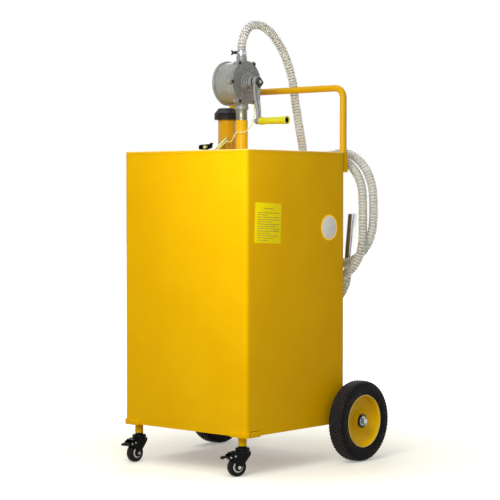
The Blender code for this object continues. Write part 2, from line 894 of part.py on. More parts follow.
def make_crank(crank):
    middle = (crank_back + crank_front) / 2
    points = [
        (middle + side * crank_set, 0, -down * crank_throw) for side, down in crank_bow_shares
    ]
    route, _ = smooth_route(points, crank_throw / 7)
    arm_shape = tube_mesh("crank_arm", route, crank_rod_radius, 8)
    arm = place(arm_shape, "crank_arm", cast_grey, parent=crank)
    foot = points[-1][0]
    top_boss = rod("crank_boss", crank_boss_radius, crank_back, crank_front, None,
                   (0, 0, 0), along_x, pipe_steps, crank)
    end_boss = rod("crank_end", crank_end_radius, foot - crank_thickness / 2,
                   foot + crank_thickness / 2, None, (0, 0, -crank_throw), along_x,
                   small_steps, crank)
    join(arm, top_boss, end_boss)
    shaft_hole = rod("crank_shaft_hole", shaft_radius + fit_gap, crank_back - overrun,
                     crank_front + overrun, None, (0, 0, 0), along_x, small_steps, crank)
    pin_hole = rod("crank_pin_hole", spindle_radius + fit_gap, foot - crank_thickness,
                   foot + crank_thickness, None, (0, 0, -crank_throw), along_x,
                   small_steps, crank)
    cut(arm, shaft_hole, pin_hole)
    head_back = crank_front + fit_gap
    shank_hole = crank_bolt_shank + fit_gap
    end_hole = rod("shaft_end_hole", shank_hole, crank_front - crank_bolt_depth - fit_gap,
                   crank_front + overrun, None, (0, 0, 0), along_x, small_steps, crank)
    cut(bpy.data.objects["pump_shaft"], end_hole)
    bolt_profile = [
        (0, head_back + crank_bolt_head),
        (crank_bolt_radius, head_back + crank_bolt_head),
        (crank_bolt_radius, head_back),
        (crank_bolt_shank, head_back),
        (crank_bolt_shank, crank_front - crank_bolt_depth),
        (0, crank_front - crank_bolt_depth),
    ]
    turned("crank_bolt", bolt_profile, black_steel, (0, 0, 0), along_x, bolt_steps,
           False, crank)

    back = foot - crank_thickness / 2 - fit_gap
    grip_back = foot + crank_thickness / 2 + fit_gap
    recess_floor = grip_back + grip_length - grip_recess
    nut_back = recess_floor + fit_gap
    spindle_profile = [
        (0, nut_back + spindle_head),
        (spindle_head_radius, nut_back + spindle_head),
        (spindle_head_radius, nut_back),
        (spindle_radius, nut_back),
        (spindle_radius, back),
        (spindle_head_radius, back),
        (spindle_head_radius, back - spindle_head),
        (0, back - spindle_head),
    ]
    turned("grip_spindle", spindle_profile, zinc, (0, 0, -crank_throw), along_x, small_steps,
           False, crank)
    far = grip_back + grip_length
    bore = spindle_radius + fit_gap
    grip_profile = [
        (grip_far_radius - grip_lip, far),
        (grip_far_radius, far - grip_lip),
        (grip_waist_radius + grip_lip / 2, (grip_back + far) / 2),
        (grip_waist_radius, grip_back + grip_length / 4),
        (grip_near_radius, grip_back + grip_length / 9),
        (grip_near_radius, grip_back + grip_lip),
        (grip_near_radius - grip_lip, grip_back),
        (bore, grip_back),
        (bore, recess_floor),
        (grip_recess_radius, recess_floor),
        (grip_recess_radius, far),
    ]
    turned("crank_grip", grip_profile, lime, (0, 0, -crank_throw), along_x, pipe_steps,
           parent=crank)


def clamp_ring(name, location, rotation, inner):
    """A band round the hose's end, with the block that its screw pulls shut."""
    outer = inner + clamp_wall
    band = turned(name, ring_profile(outer, inner, 0, clamp_width), zinc, location, rotation,
                  pipe_steps)
    low = (inner + fit_gap, -clamp_lug[1] / 2, (clamp_width - clamp_lug[2]) / 2)
    high = (outer + clamp_lug[0], clamp_lug[1] / 2, (clamp_width + clamp_lug[2]) / 2)
    turn = rotation @ Matrix.Rotation(clamp_turn, 3, "Z")
    join(band, box(name + "_block", low, high, None, location, turn))


def ringed_hose(name, points):
    """A hose with moulded rings and a bore, straight at both ends."""
    route, length = smooth_route(points, hose_ring_pitch / 2)
    radii = []
    for i in range(len(route)):
        from_end = min(i, len(route) - 1 - i)
        plain = from_end < 3 or from_end % 2
        radii.append(1.0 if plain else hose_valley_share)
    hose = place(tube_mesh(name, route, hose_radius, hose_sides, radii), name, clear_vinyl)
    bore_route, _ = smooth_route(points, 5 * hose_radius / 2)
    start = (bore_route[0] - bore_route[1]).normalized() * overrun
    finish = (bore_route[-1] - bore_route[-2]).normalized() * overrun
    bore_route[0] += start
    bore_route[-1] += finish
    bore = tube_mesh(name + "_bore", bore_route, hose_bore_radius, hose_sides)
    cut(hose, place(bore, name + "_bore", None))
    print(f"{name}: {length:.3f} m long")
    return route


def coil_route():
    """Loops hung on the hook, quarter turn by quarter turn, then the low bend to the spout."""
    lead_end = Vector(hose_lead_route[-1])
    points = [lead_end - Vector((0, 0, fit_gap))]
    for quarter, (middle_x, middle_z, half_width, half_height) in enumerate(coil_quarters):
        first = 0 if quarter % 2 == 0 else 1
        for step in range(first, coil_steps + 1):
            turns = quarter + step / coil_steps
            angle = math.pi + math.pi / 2 * turns
            points.append(Vector((
                middle_x + half_width * math.cos(angle),
                lead_end.y + coil_layer * turns / 4,
                middle_z + half_height * math.sin(angle),
            )))
    tail = Vector((math.sin(spout_tilt), 0, math.cos(spout_tilt)))
    last = points[-1]
    for share in (0.4, 0.7, 1.0):
        points.append(last + tail * coil_tail * share)
    return points, tail


def make_hose():
    spigot = hose_bore_radius * math.cos(math.pi / hose_sides) - fit_gap
    barb_low = outlet_top - barb_plug
    flange_low = outlet_top + fit_gap
    flange_high = flange_low + barb_flange
    barb_profile = [
        (spigot, flange_high + barb_length),
        (spigot, flange_high),
        (barb_flange_radius, flange_high),
        (barb_flange_radius, flange_low),
        (port_radius - fit_gap, flange_low),
        (port_radius - fit_gap, barb_low),
        (spigot - clamp_wall, barb_low),
        (spigot - clamp_wall, flange_high + barb_length),
    ]
    turned("outlet_barb", barb_profile, zinc, (0, pump_y, 0))
    clamp_base = (0, pump_y, flange_high + 2 * fit_gap)
    clamp_ring("hose_clamp_pump", clamp_base, Matrix.Identity(3), hose_radius + fit_gap)
    ringed_hose("hose_lead", hose_lead_route)

    points, tail = coil_route()
    route = ringed_hose("hose_coil", points)
    least_gap("hose_coil", route, hose_radius, 12)
    end = points[-1]
    tilt = Vector((0, 0, 1)).rotation_difference(tail).to_matrix()
    clamp_start = end - tail * (clamp_width + 2 * fit_gap)
    clamp_ring("spout_clamp", clamp_start, tilt, hose_radius + fit_gap)
    shoulder = fit_gap
    spout_profile = [
        (spout_radius, spout_length),
        (spout_radius, shoulder + spout_shoulder),
        (hose_radius, shoulder),
        (spigot, shoulder),
        (spigot, -spout_spigot),
        (spigot - spout_wall, -spout_spigot),
        (spigot - spout_wall, shoulder + spout_shoulder),
        (spout_radius - spout_wall, shoulder + 2 * spout_shoulder),
        (spout_radius - spout_wall, spout_length),
    ]
    turned("spout_tube", spout_profile, chrome, end, tilt, pipe_steps)
    make_hook()


def make_hook():
    """A rod bent up at its end, under the two top strands of the coil."""
    first_top = coil_quarters[2][1] + coil_quarters[2][3]
    second_top = coil_quarters[6][1] + coil_quarters[6][3]
    strand_y = hose_lead_route[-1][1] + coil_layer * 3 / 4
    seat = hose_radius + hook_radius + 2 * fit_gap
    plate_front = back_face + fit_gap + hook_plate[1]
    low_z = first_top - seat
    high_z = second_top - seat
    points = [
        (hook_x, plate_front - hook_plate[1] / 2, low_z),
        (hook_x, plate_front + hook_radius, low_z),
        (hook_x, strand_y, low_z),
        (hook_x, strand_y + 2 * hook_radius, low_z + hook_radius / 4),
        (hook_x, strand_y + coil_layer, high_z - hook_radius),
        (hook_x, strand_y + coil_layer + hook_tip_reach / 2, high_z - hook_radius / 2),
        (hook_x, strand_y + coil_layer + hook_tip_reach, high_z + hook_tip_rise / 3),
        (hook_x, strand_y + coil_layer + hook_tip_reach, high_z + hook_tip_rise),
    ]
    route, _ = smooth_route(points, 1.5 * hook_radius)
    hook = place(tube_mesh("hose_hook", route, hook_radius, hose_sides), "hose_hook", paint)
    low = (hook_x - hook_plate[0] / 2, back_face + fit_gap, low_z - hook_plate[2] / 2)
    high = (hook_x + hook_plate[0] / 2, plate_front, low_z + hook_plate[2] / 2)
    join(hook, box("hook_plate", low, high, None))


def hank_route():
    """The spare earth lead in a wound hank that leans on the filler neck."""
    centre = Vector(hank_centre)
    lean = Matrix.Rotation(hank_turn, 3, "Z") @ Matrix.Rotation(hank_lean, 3, "X")
    points = []
    half_turns = hank_turns / 2
    for i in range(hank_turns * hank_steps + 1):
        turns = i / hank_steps
        angle = -2 * math.pi * turns
        shrink = hank_step_in * (half_turns - abs(turns - half_turns))
        climb = min(1.0, max(0.0, (turns - half_turns) * 2 + 1 / 2))
        points.append(centre + lean @ Vector((
            (hank_half_width - shrink) * math.cos(angle),
            (hank_half_height - shrink) * math.sin(angle),
            hank_spread * climb,
        )))
    tail, _ = smooth_route([points[-2], points[-1], *hank_tail_route], 3 * wire_radius)
    return points[:-1] + tail[1:]


def make_ground_lead():
    """The earth wire from the pump, its hank and its spring clip."""
    hank = hank_route()
    shape = tube_mesh("ground_hank", hank, wire_radius, 6)
    place(shape, "ground_hank", lime)
    least_gap("ground_hank", hank, wire_radius, hank_steps // 2)
    route, length = smooth_route([*ground_route, hank[0] + (hank[0] - hank[1]) / 8],
                                 4 * wire_radius)
    place(tube_mesh("ground_wire", route, wire_radius, 6), "ground_wire", lime)
    print(f"ground_wire: {length:.3f} m long")

    rest = tank_top + fit_gap
    clip = pivot("clip_pivot", (*clip_place, rest), clip_turn)
    pin = clip_pivot_share * clip_length
    half = clip_width / 2
    lower = clip_outline(1)
    upper = clip_outline(-1)
    flat("clip_jaw_lower", [lower], clip_width, black_steel, (0, 0, 0), flat_in_yz, clip)
    joint = pivot("clip_joint", (0, pin, clip_jaw_height))
    joint.parent = clip
    flat("clip_jaw_upper", [upper], clip_width - half / 2, black_steel, (0, -pin, 0),
         flat_in_yz, joint)


def clip_outline(side):
    """One jaw of the clip: lower at +1, upper at -1, from its nose at 0 to its tail."""
    pin = clip_pivot_share * clip_length
    away = clip_jaw_height - clip_sheet
    if side > 0:
        shape = [(0, clip_sheet), (0, 0), (clip_length, 0), (clip_length, clip_sheet),
                 (pin + away, clip_sheet), (pin, clip_jaw_height), (pin - away, clip_sheet)]
        return shape
    shape = [(0, -away + clip_sheet + fit_gap), (pin - away, fit_gap), (pin, fit_gap),
             (clip_length, clip_open), (clip_length, clip_open + clip_sheet),
             (pin, fit_gap + clip_sheet), (pin - away, fit_gap + clip_sheet),
             (0, -away + 2 * clip_sheet + fit_gap)]
    return shape


def make_handle():
    bottom = tank_top - socket_below_top - socket_length + leg_end_above
    bar = tank_top + handle_rise
    points = [(-handle_half_width, handle_y, bottom)]
    for middle, start, end in ((-1, 180, 90), (1, 90, 0)):
        centre = (middle * (handle_half_width - handle_bend), bar - handle_bend)
        for x, z in arc(centre, handle_bend, start, end, handle_bend_steps):
            points.append((x, handle_y, z))
    points.append((handle_half_width, handle_y, bottom))
    place(tube_mesh("handle_tube", points, handle_radius, 12), "handle_tube", paint)
    inner = handle_radius + socket_play
    for side, sign in (("left", -1), ("right", 1)):
        turned(
            f"handle_socket_{side}",
            ring_profile(inner + socket_wall, inner, -socket_length, 0),
            paint, (sign * handle_half_width, handle_y, tank_top - socket_below_top),
            steps=pipe_steps,
        )


def make_corner(side, sign):
    """A bracket under a front corner with the post that a caster's stem plugs into."""
    top = tank_bottom - fit_gap
    corner_x = sign * (tank_width / 2 + bracket_out)
    corner_y = tank_y - tank_depth / 2 - bracket_out
    inner_x = corner_x - sign * bracket_leg
    inner_y = corner_y + bracket_leg
    edge_x = corner_x - sign * bracket_sheet
    edge_y = corner_y + bracket_sheet
    radius = tank_corner_radius
    arc_x = corner_x - sign * radius
    turn = (180, 270) if sign < 0 else (360, 270)
    outside = arc((arc_x, corner_y + radius), radius, *turn, corner_steps)
    inside = arc((arc_x, corner_y + radius), radius - bracket_sheet, *turn, corner_steps)
    plate_outline = [(corner_x, inner_y)] + outside + [
        (inner_x, corner_y),
        (inner_x, inner_y - bracket_chamfer),
        (inner_x + sign * bracket_chamfer, inner_y),
    ]
    plate = flat(f"corner_bracket_{side}", [plate_outline], bracket_sheet, paint,
                 (0, 0, top - bracket_sheet / 2))
    skirt_outline = (
        [(corner_x, inner_y - bracket_chamfer)] + outside
        + [(inner_x + sign * bracket_chamfer, corner_y),
           (inner_x + sign * bracket_chamfer, edge_y)]
        + inside[::-1] + [(edge_x, inner_y - bracket_chamfer)]
    )
    skirt = flat(f"bracket_skirt_{side}", [skirt_outline], bracket_drop, None,
                 (0, 0, top - bracket_sheet / 4 - bracket_drop / 2))
    join(plate, skirt)
    post_at = (sign * post_x, tank_y - tank_depth / 2 + post_inset, 0)
    post = turned(f"caster_post_{side}",
                  ring_profile(post_radius, post_radius - post_wall, post_bottom,
                               top - bracket_sheet / 2),
                  None, post_at, steps=pipe_steps)
    join(plate, post)
    return post_at


def fork_outline():
    """Side plate of the fork in (Y, Z): the nose, the round end at the axle and the wing."""
    low = caster_crown_bottom - caster_wing_drop
    axle = (-caster_trail, caster_wheel_radius)
    points = [(caster_nose, caster_crown_bottom), (caster_nose, low + caster_wing_drop / 2)]
    points += arc(axle, caster_fork_end_radius, 0, -180, 6)
    points += [
        (-caster_trail - caster_fork_end_radius, low - caster_wing_drop / 2),
        (-caster_wing_reach, low),
        (-caster_wing_reach, caster_crown_bottom - caster_bridge_sheet * 2),
        (-caster_wing_reach / 2, caster_crown_bottom),
    ]
    return points


def make_caster(side, sign, post_at):
    swivel = pivot(f"caster_swivel_{side}", post_at, caster_yaws[side])
    half_gap = caster_fork_gap / 2
    side_x = half_gap + caster_fork_sheet / 2
    crown_top = caster_crown_bottom + caster_crown_height
    fork_profile = [
        (caster_crown_radius - caster_crown_edge, crown_top),
        (caster_crown_radius, crown_top - caster_crown_edge),
        (caster_crown_radius, caster_crown_bottom - caster_bridge_sheet),
        (caster_kingpin_radius + fit_gap, caster_crown_bottom - caster_bridge_sheet),
        (caster_kingpin_radius + fit_gap, crown_top),
    ]
    fork = turned(f"caster_fork_{side}", fork_profile, black_steel, steps=pipe_steps,
                  parent=swivel)
    for name, at in (("in", -side_x), ("out", side_x)):
        plate = flat(f"fork_side_{side}_{name}", [fork_outline()], caster_fork_sheet, None,
                     (at, 0, 0), flat_in_yz, swivel)
        join(fork, plate)
    axle_at = (0, -caster_trail, caster_wheel_radius)
    hole = rod(f"fork_axle_hole_{side}", caster_axle_radius + fit_gap, -caster_fork_gap,
               caster_fork_gap, None, axle_at, along_x, parent=swivel)
    pin_at = (0, brake_pivot_y, brake_pivot_z)
    pin_hole = rod(f"fork_brake_hole_{side}", brake_pin_radius + fit_gap, -caster_fork_gap,
                   caster_fork_gap, None, pin_at, along_x, parent=swivel)
    cut(fork, hole, pin_hole)

    collar_low = crown_top + fit_gap
    collar_high = post_bottom - fit_gap
    head_top = caster_crown_bottom - caster_bridge_sheet - fit_gap
    stem_top = collar_high + caster_stem_length
    plug = post_radius - post_wall - fit_gap
    stem_profile = [
        (0, stem_top),
        (plug, stem_top),
        (plug, collar_high),
        (post_radius, collar_high),
        (post_radius, collar_low),
        (caster_kingpin_radius, collar_low),
        (caster_kingpin_radius, head_top),
        (caster_kingpin_head_radius, head_top),
        (caster_kingpin_head_radius, head_top - caster_kingpin_head),
        (0, head_top - caster_kingpin_head),
    ]
    turned(f"caster_stem_{side}", stem_profile, zinc, steps=small_steps, ring=False,
           parent=swivel)

    half_tread = caster_tread_width / 2
    edge = caster_tread_width / 6
    bore = caster_hub_radius + fit_gap
    tread_profile = [
        (caster_wheel_radius - edge, half_tread),
        (caster_wheel_radius, half_tread - edge),
        (caster_wheel_radius, edge - half_tread),
        (caster_wheel_radius - edge, -half_tread),
        (bore, -half_tread),
        (bore, half_tread),
    ]
    turned(f"caster_tread_{side}", tread_profile, rubber, axle_at, along_x, pipe_steps,
           parent=swivel)
    half_hub = caster_hub_width / 2
    turned(f"caster_hub_{side}",
           ring_profile(caster_hub_radius, caster_axle_radius + fit_gap, -half_hub, half_hub),
           light_plastic, axle_at, along_x, pipe_steps, parent=swivel)
    outer = half_gap + caster_fork_sheet + fit_gap
    head = outer + caster_axle_head
    axle_profile = [
        (0, head), (caster_axle_head_radius, head), (caster_axle_head_radius, outer),
        (caster_axle_radius, outer), (caster_axle_radius, -outer),
        (caster_axle_head_radius, -outer), (caster_axle_head_radius, -head), (0, -head),
    ]
    turned(f"caster_axle_{side}", axle_profile, zinc, axle_at, along_x, bolt_steps, False,
           swivel)
    make_brake(side, swivel, pin_at)


def make_brake(side, swivel, pin_at):
    """The brake lever: a pedal plate, a pad over the tread and its pin in the fork."""
    joint = pivot(f"caster_brake_joint_{side}", pin_at)
    joint.parent = swivel
    half = brake_sheet / 2
    tip = -brake_reach - brake_pivot_y
    outline = [
        (half, half),
        (tip / 2, half),
        (tip + 2 * half, half - brake_tip_drop / 4),
        (tip, -brake_tip_drop),
        (tip + half, -brake_tip_drop - half),
        (tip + 3 * half, -half - brake_tip_drop / 4),
        (tip / 2, -half),
        (-2 * half - brake_sheet, -brake_pad_drop),
        (-brake_sheet / 2, -brake_pad_drop),
        (half, -half),
    ]
    pedal = flat(f"caster_brake_{side}", [outline], brake_width, black_steel, (0, 0, 0),
                 flat_in_yz, joint)
    reach = caster_fork_gap / 2 + caster_fork_sheet
    pin = rod(f"brake_pin_{side}", brake_pin_radius, -reach, reach, None, (0, 0, 0), along_x,
              small_steps, joint)
    join(pedal, pin)


def make_axle():
    axle_profile = [
        (0, axle_half_length), (axle_radius, axle_half_length), (axle_radius, axle_shoulder),
        (axle_middle_radius, axle_shoulder), (axle_middle_radius, -axle_shoulder),
        (axle_radius, -axle_shoulder), (axle_radius, -axle_half_length),
        (0, -axle_half_length),
    ]
    axle_at = (0, axle_y, wheel_radius)
    turned("wheel_axle", axle_profile, zinc, axle_at, along_x, small_steps, False)
    front = back_face + fit_gap - axle_y
    for side, sign in (("left", -1), ("right", 1)):
        outline = (
            [(front, axle_bracket_rise), (front, -axle_bracket_radius)]
            + arc((0, 0), axle_bracket_radius, -90, 90, 10)
        )
        at = (sign * axle_bracket_x, axle_y, wheel_radius)
        bracket = flat(f"axle_bracket_{side}", [outline], axle_bracket_sheet, paint, at,
                       flat_in_yz)
        hole = rod(f"axle_hole_{side}", axle_middle_radius + fit_gap, -axle_bracket_sheet,
                   axle_bracket_sheet, None, at, along_x)
        cut(bracket, hole)


def make_wheel(side, sign):
    """Tyre, steel rim and hub bearing. The profiles' +height side faces outward."""
    at = (sign * wheel_middle_x, axle_y, wheel_radius)
    outward = along_x if sign > 0 else Matrix.Rotation(math.pi, 3, "Z") @ along_x
    half = tyre_width / 2
    bead = tyre_bead_width / 2
    bore = rim_radius + fit_gap
    lip = rim_lip_radius + fit_gap
    side_radius = (wheel_radius + lip) / 2
    tyre_profile = [
        (lip, bead + rim_lip),
        (side_radius, half),
        (wheel_radius - tyre_shoulder, half - tyre_shoulder / 4),
        (wheel_radius, half - 1.5 * tyre_shoulder),
        (wheel_radius, 1.5 * tyre_shoulder - half),
        (wheel_radius - tyre_shoulder, tyre_shoulder / 4 - half),
        (side_radius, -half),
        (lip, -bead - rim_lip),
        (lip, -bead),
        (bore, -bead),
        (bore, bead),
        (lip, bead),
    ]
    turned(f"wheel_tyre_{side}", tyre_profile, rubber, at, outward, wheel_steps)
    edge = bead + fit_gap
    inner = rim_radius - rim_sheet
    web = -rim_web_inset
    dish = web - rim_dish
    rim_profile = [
        (rim_lip_radius, bead + rim_lip),
        (rim_radius, edge),
        (rim_radius, -edge),
        (rim_lip_radius, -bead - rim_lip),
        (inner, -bead),
        (inner, web - rim_sheet),
        (rim_step_radius - rim_dish, dish - rim_sheet),
        (rim_hub_radius, dish - rim_sheet),
        (rim_hub_radius, -rim_hub_inner),
        (rim_hub_radius - rim_hub_wall, -rim_hub_inner),
        (rim_hub_radius - rim_hub_wall, rim_hub_outer),
        (rim_hub_radius, rim_hub_outer),
        (rim_hub_radius, dish),
        (rim_step_radius - rim_dish, dish),
        (inner, web),
        (inner, bead),
    ]
    rim = turned(f"wheel_rim_{side}", rim_profile, paint, at, outward, wheel_steps)
    hole_at = (
        sign * (wheel_middle_x - rim_web_inset),
        axle_y + rim_hole_circle * math.cos(rim_hole_angle),
        wheel_radius + rim_hole_circle * math.sin(rim_hole_angle),
    )
    hole = rod(f"rim_hole_{side}", rim_hole_radius, -rim_dish * 2, rim_dish * 2, None, hole_at,
               along_x)
    cut(rim, hole)
    sleeve = rim_hub_radius - rim_hub_wall - fit_gap
    outer_face = rim_hub_outer + fit_gap + bearing_flange
    bearing_profile = [
        (bearing_flange_radius, outer_face),
        (bearing_flange_radius, rim_hub_outer + fit_gap),
        (sleeve, rim_hub_outer + fit_gap),
        (sleeve, -rim_hub_inner),
        (axle_radius + fit_gap, -rim_hub_inner),
        (axle_radius + fit_gap, outer_face),
    ]
    turned(f"wheel_bearing_{side}", bearing_profile, black_steel, at, outward, pipe_steps)


make_tank()
make_filler()
make_riser()
make_pump_housing()
crank_axis = pivot("pump_crank_axis", (0, pump_y, pump_z))
make_pump_rotor(crank_axis)
make_crank(crank_axis)
make_hose()
make_ground_lead()
make_handle()
for corner_side, corner_sign in (("left", -1), ("right", 1)):
    corner_post = make_corner(corner_side, corner_sign)
    make_caster(corner_side, corner_sign, corner_post)
make_axle()
for wheel_side, wheel_sign in (("left", -1), ("right", 1)):
    make_wheel(wheel_side, wheel_sign)
for piece in parts.objects:
    if piece.type == "MESH":
        smooth(piece.data)
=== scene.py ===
import math

import bmesh
import bpy
import numpy as np
from mathutils import Matrix, Vector


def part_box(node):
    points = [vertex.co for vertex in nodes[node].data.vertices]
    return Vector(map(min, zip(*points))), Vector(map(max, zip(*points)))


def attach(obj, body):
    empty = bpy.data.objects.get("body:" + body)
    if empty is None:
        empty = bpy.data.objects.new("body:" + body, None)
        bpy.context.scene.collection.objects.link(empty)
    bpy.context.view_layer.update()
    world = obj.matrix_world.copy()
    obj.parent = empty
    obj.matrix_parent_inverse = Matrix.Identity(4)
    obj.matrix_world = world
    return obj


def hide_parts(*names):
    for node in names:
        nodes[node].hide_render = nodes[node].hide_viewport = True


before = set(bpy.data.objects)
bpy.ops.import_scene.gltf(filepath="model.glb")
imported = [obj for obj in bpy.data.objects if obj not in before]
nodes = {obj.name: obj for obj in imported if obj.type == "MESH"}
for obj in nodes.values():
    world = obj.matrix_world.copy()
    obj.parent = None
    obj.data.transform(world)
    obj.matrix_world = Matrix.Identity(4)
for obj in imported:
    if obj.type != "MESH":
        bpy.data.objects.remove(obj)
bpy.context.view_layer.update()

MM = 0.001
MATH = "ShaderNodeMath"
RANGE = "ShaderNodeMapRange"


# Camera and lamps
def linked(name, data):
    """An object around a mesh, curve, lamp or camera, linked to the scene."""
    thing = bpy.data.objects.new(name, data)
    bpy.context.scene.collection.objects.link(thing)
    return thing


def aim(thing, place, forward):
    """Puts a camera or lamp at a place so that it looks along a direction."""
    turn = Vector(forward).to_track_quat("-Z", "Y").to_matrix().to_4x4()
    thing.matrix_world = Matrix.Translation(place) @ turn


def hex_colour(text):
    """An sRGB hex colour as linear values for a shader."""
    values = [int(text[i:i + 2], 16) / 255 for i in (1, 3, 5)]
    return (*[v / 12.92 if v <= 0.04045 else ((v + 0.055) / 1.055) ** 2.4 for v in values], 1)


PHOTO_PIXELS = 500
FOCAL_PIXELS = 1686.0
SENSOR_MM = 36.0
CAMERA_AT = (3.0937, -3.4963, 0.7265)
CAMERA_TURN = math.radians(41.34)
CAMERA_DIP = math.radians(1.8)
FARTHEST_SEEN = 60

camera_data = bpy.data.cameras.new("photo_camera")
camera_data.sensor_width = SENSOR_MM
camera_data.lens = FOCAL_PIXELS / PHOTO_PIXELS * SENSOR_MM
camera_data.clip_end = FARTHEST_SEEN
camera = linked("photo_camera", camera_data)
aim(camera, CAMERA_AT, (-math.sin(CAMERA_TURN) * math.cos(CAMERA_DIP),
                        math.cos(CAMERA_TURN) * math.cos(CAMERA_DIP), -math.sin(CAMERA_DIP)))
bpy.context.scene.camera = camera
bpy.context.scene.view_settings.view_transform = "Standard"


def lamp(name, place, target, width, height, watts):
    data = bpy.data.lights.new(name, "AREA")
    data.shape = "RECTANGLE"
    data.size, data.size_y, data.energy = width, height, watts
    aim(linked(name, data), place, Vector(target) - Vector(place))


lamp("key_softbox", (0.54, -1.02, 1.04), (0.14, -0.22, 0.60), 0.7, 0.8, 11.1)
lamp("fill_softbox", (3.2, -1.6, 1.7), (0, 0, 0.75), 1.4, 1.6, 2.4)
lamp("top_softbox", (-0.6, -0.4, 4.2), (0, 0, 0.5), 2.6, 2.6, 46)
lamp("back_softbox", (-2.4, 3.0, 2.4), (0, 0, 0.6), 2.0, 2.0, 30)


# Finishes
def add(tree, kind, inputs=(), **settings):
    """Adds a node. inputs is a list, or a dict by name or index: a socket, or a node's first
    output, is linked, and anything else is set as a value."""
    node = tree.nodes.new(kind)
    for name, value in settings.items():
        setattr(node, name, value)
    for key, value in inputs.items() if isinstance(inputs, dict) else enumerate(inputs):
        if isinstance(value, bpy.types.Node):
            value = value.outputs[0]
        if isinstance(value, bpy.types.NodeSocket):
            tree.links.new(value, node.inputs[key])
        else:
            node.inputs[key].default_value = value
    return node


def into(finish, socket, node, output=0):
    """Links a node to the finish's shader."""
    shader = finish.node_tree.nodes["Principled BSDF"]
    finish.node_tree.links.new(node.outputs[output], shader.inputs[socket])


def grain(finish, size_mm, detail=2.0, stretch=(1, 1, 1)):
    """A noise on Object coordinates whose features are about size_mm across."""
    tree = finish.node_tree
    place = add(tree, "ShaderNodeTexCoord").outputs["Object"]
    mapping = add(tree, "ShaderNodeMapping", {"Vector": place, "Scale": stretch})
    return add(tree, "ShaderNodeTexNoise",
               {"Vector": mapping, "Scale": 1 / (size_mm * MM), "Detail": detail})


def tint(finish, pattern, low, high, low_at=0.35, high_at=0.65):
    """The base colour runs between two near tones as a pattern goes from low_at to high_at."""
    ramp = add(finish.node_tree, "ShaderNodeValToRGB", [pattern])
    stops = ramp.color_ramp.elements
    stops[0].position, stops[0].color = low_at, hex_colour(low)
    stops[1].position, stops[1].color = high_at, hex_colour(high)
    into(finish, "Base Color", ramp)


def relief(finish, height, depth_mm, strength, under=None):
    """Bumps over the surface, on top of those under it."""
    inputs = {"Height": height, "Distance": depth_mm * MM, "Strength": strength}
    if under:
        inputs["Normal"] = under
    bumps = add(finish.node_tree, "ShaderNodeBump", inputs)
    into(finish, "Normal", bumps)
    return bumps


def vary(finish, pattern, low, high):
    """Roughness runs from low to high with a pattern."""
    into(finish, "Roughness", add(finish.node_tree, RANGE, {
        "Value": pattern, "From Min": 0.3, "From Max": 0.7, "To Min": low, "To Max": high}))


def coat(name, colour, roughness, metallic=0.0, tones=(), skin=(), wear=(), **values):
    """A finish. tones, skin and wear start with a grain's size in mm and its detail: then come
    the two tones of the base, the bumps' depth in mm and strength, and the least and most
    roughness. Other values go to the shader's own sockets."""
    made = bpy.data.materials.new(name)
    made.use_nodes = True
    made.diffuse_color = hex_colour(colour)
    values.update(Base_Color=hex_colour(colour), Roughness=roughness, Metallic=metallic)
    for key, value in values.items():
        socket = made.node_tree.nodes["Principled BSDF"].inputs[key.replace("_", " ")]
        socket.default_value = value
    for use, given in ((tint, tones), (relief, skin), (vary, wear)):
        if given:
            use(made, grain(made, *given[:2]), *given[2:])
    return made


# Powder-coated steel: deep yellow, a soft orange peel that breaks up the reflections
def powder(name, roughness, sheen, low="#f8bc00", high="#fcc405"):
    made = coat(name, high, roughness, tones=(160, 3, low, high), Specular_IOR_Level=sheen)
    peel = relief(made, grain(made, 2.2), 0.10, 0.35)
    relief(made, grain(made, 90, 1), 2.0, 0.10, peel)
    return made


powder_coat = powder("powder_coat", 0.36, 0.05)

# The same coat baked glossier on tubes and wheel pressings, where it shows sharp highlights. The
# neck's and the handle's copies are also darker: painted shade for the less light that falls on
# them
gloss_coat = powder("glossy_powder_coat", 0.20, 0.14, "#e6b30d", "#eebb14")
neck_shaded_coat = powder("neck_shaded_powder_coat", 0.18, 0.3, "#d09d0b", "#d8a510")
handle_shaded_coat = powder("handle_shaded_powder_coat", 0.30, 0.15, "#e4ae08", "#ecb60e")
rim_coat = powder("rim_powder_coat", 0.22, 0.12, "#f9d00a", "#ffda14")

# Dull brown painted shade along the brackets' seams, and a pale bright coat over a folded edge
# that is a painted highlight
seam_painted_shade = powder("seam_painted_shade", 0.6, 0.02, "#7a5a06", "#8a6808")
highlight_coat = powder("hem_painted_highlight_coat", 0.30, 0.6, "#fdd04a", "#ffd860")

# Die-cast aluminium, tumbled: mid grey with fine mottling and a sandy skin
cast_aluminium = coat("cast_aluminium", "#8f9090", 0.42, 0.35, tones=(9, 4, "#818283", "#969796"),
                      skin=(0.9, 3, 0.08, 0.5), wear=(5, 3, 0.36, 0.52))

# The front cover keeps the sandy skin of its mould under a darker grey paint
dark_casting = coat("painted_casting", "#7f807e", 0.5, 0.15, tones=(8, 4, "#747574", "#858684"),
                    skin=(0.9, 3, 0.08, 0.5))

# Satin paint over the drum: smooth, light grey, with a soft broad sheen
satin_drum = coat("satin_painted_drum", "#9a9c98", 0.36, 0.12, tones=(30, 3, "#888b85", "#959892"),
                  skin=(1.4, 2, 0.05, 0.3))

# Bright zinc plate on steel: pale, slightly blue, streaked by handling
zinc_plate = coat("bright_zinc_plate", "#a6a8aa", 0.28, 1.0, tones=(6, 4, "#97999c", "#b4b6b8"),
                  wear=(3, 3, 0.2, 0.38))

# Nickel-plated pipe, drawn lengthwise: mirror bands with faint draw lines along it
nickel_pipe = coat("drawn_nickel_pipe", "#7b7a6a", 0.3, 1.0)
draw_lines = grain(nickel_pipe, 1.5, 3, (1, 1, 0.02))
relief(nickel_pipe, draw_lines, 0.05, 0.25)
vary(nickel_pipe, draw_lines, 0.24, 0.38)
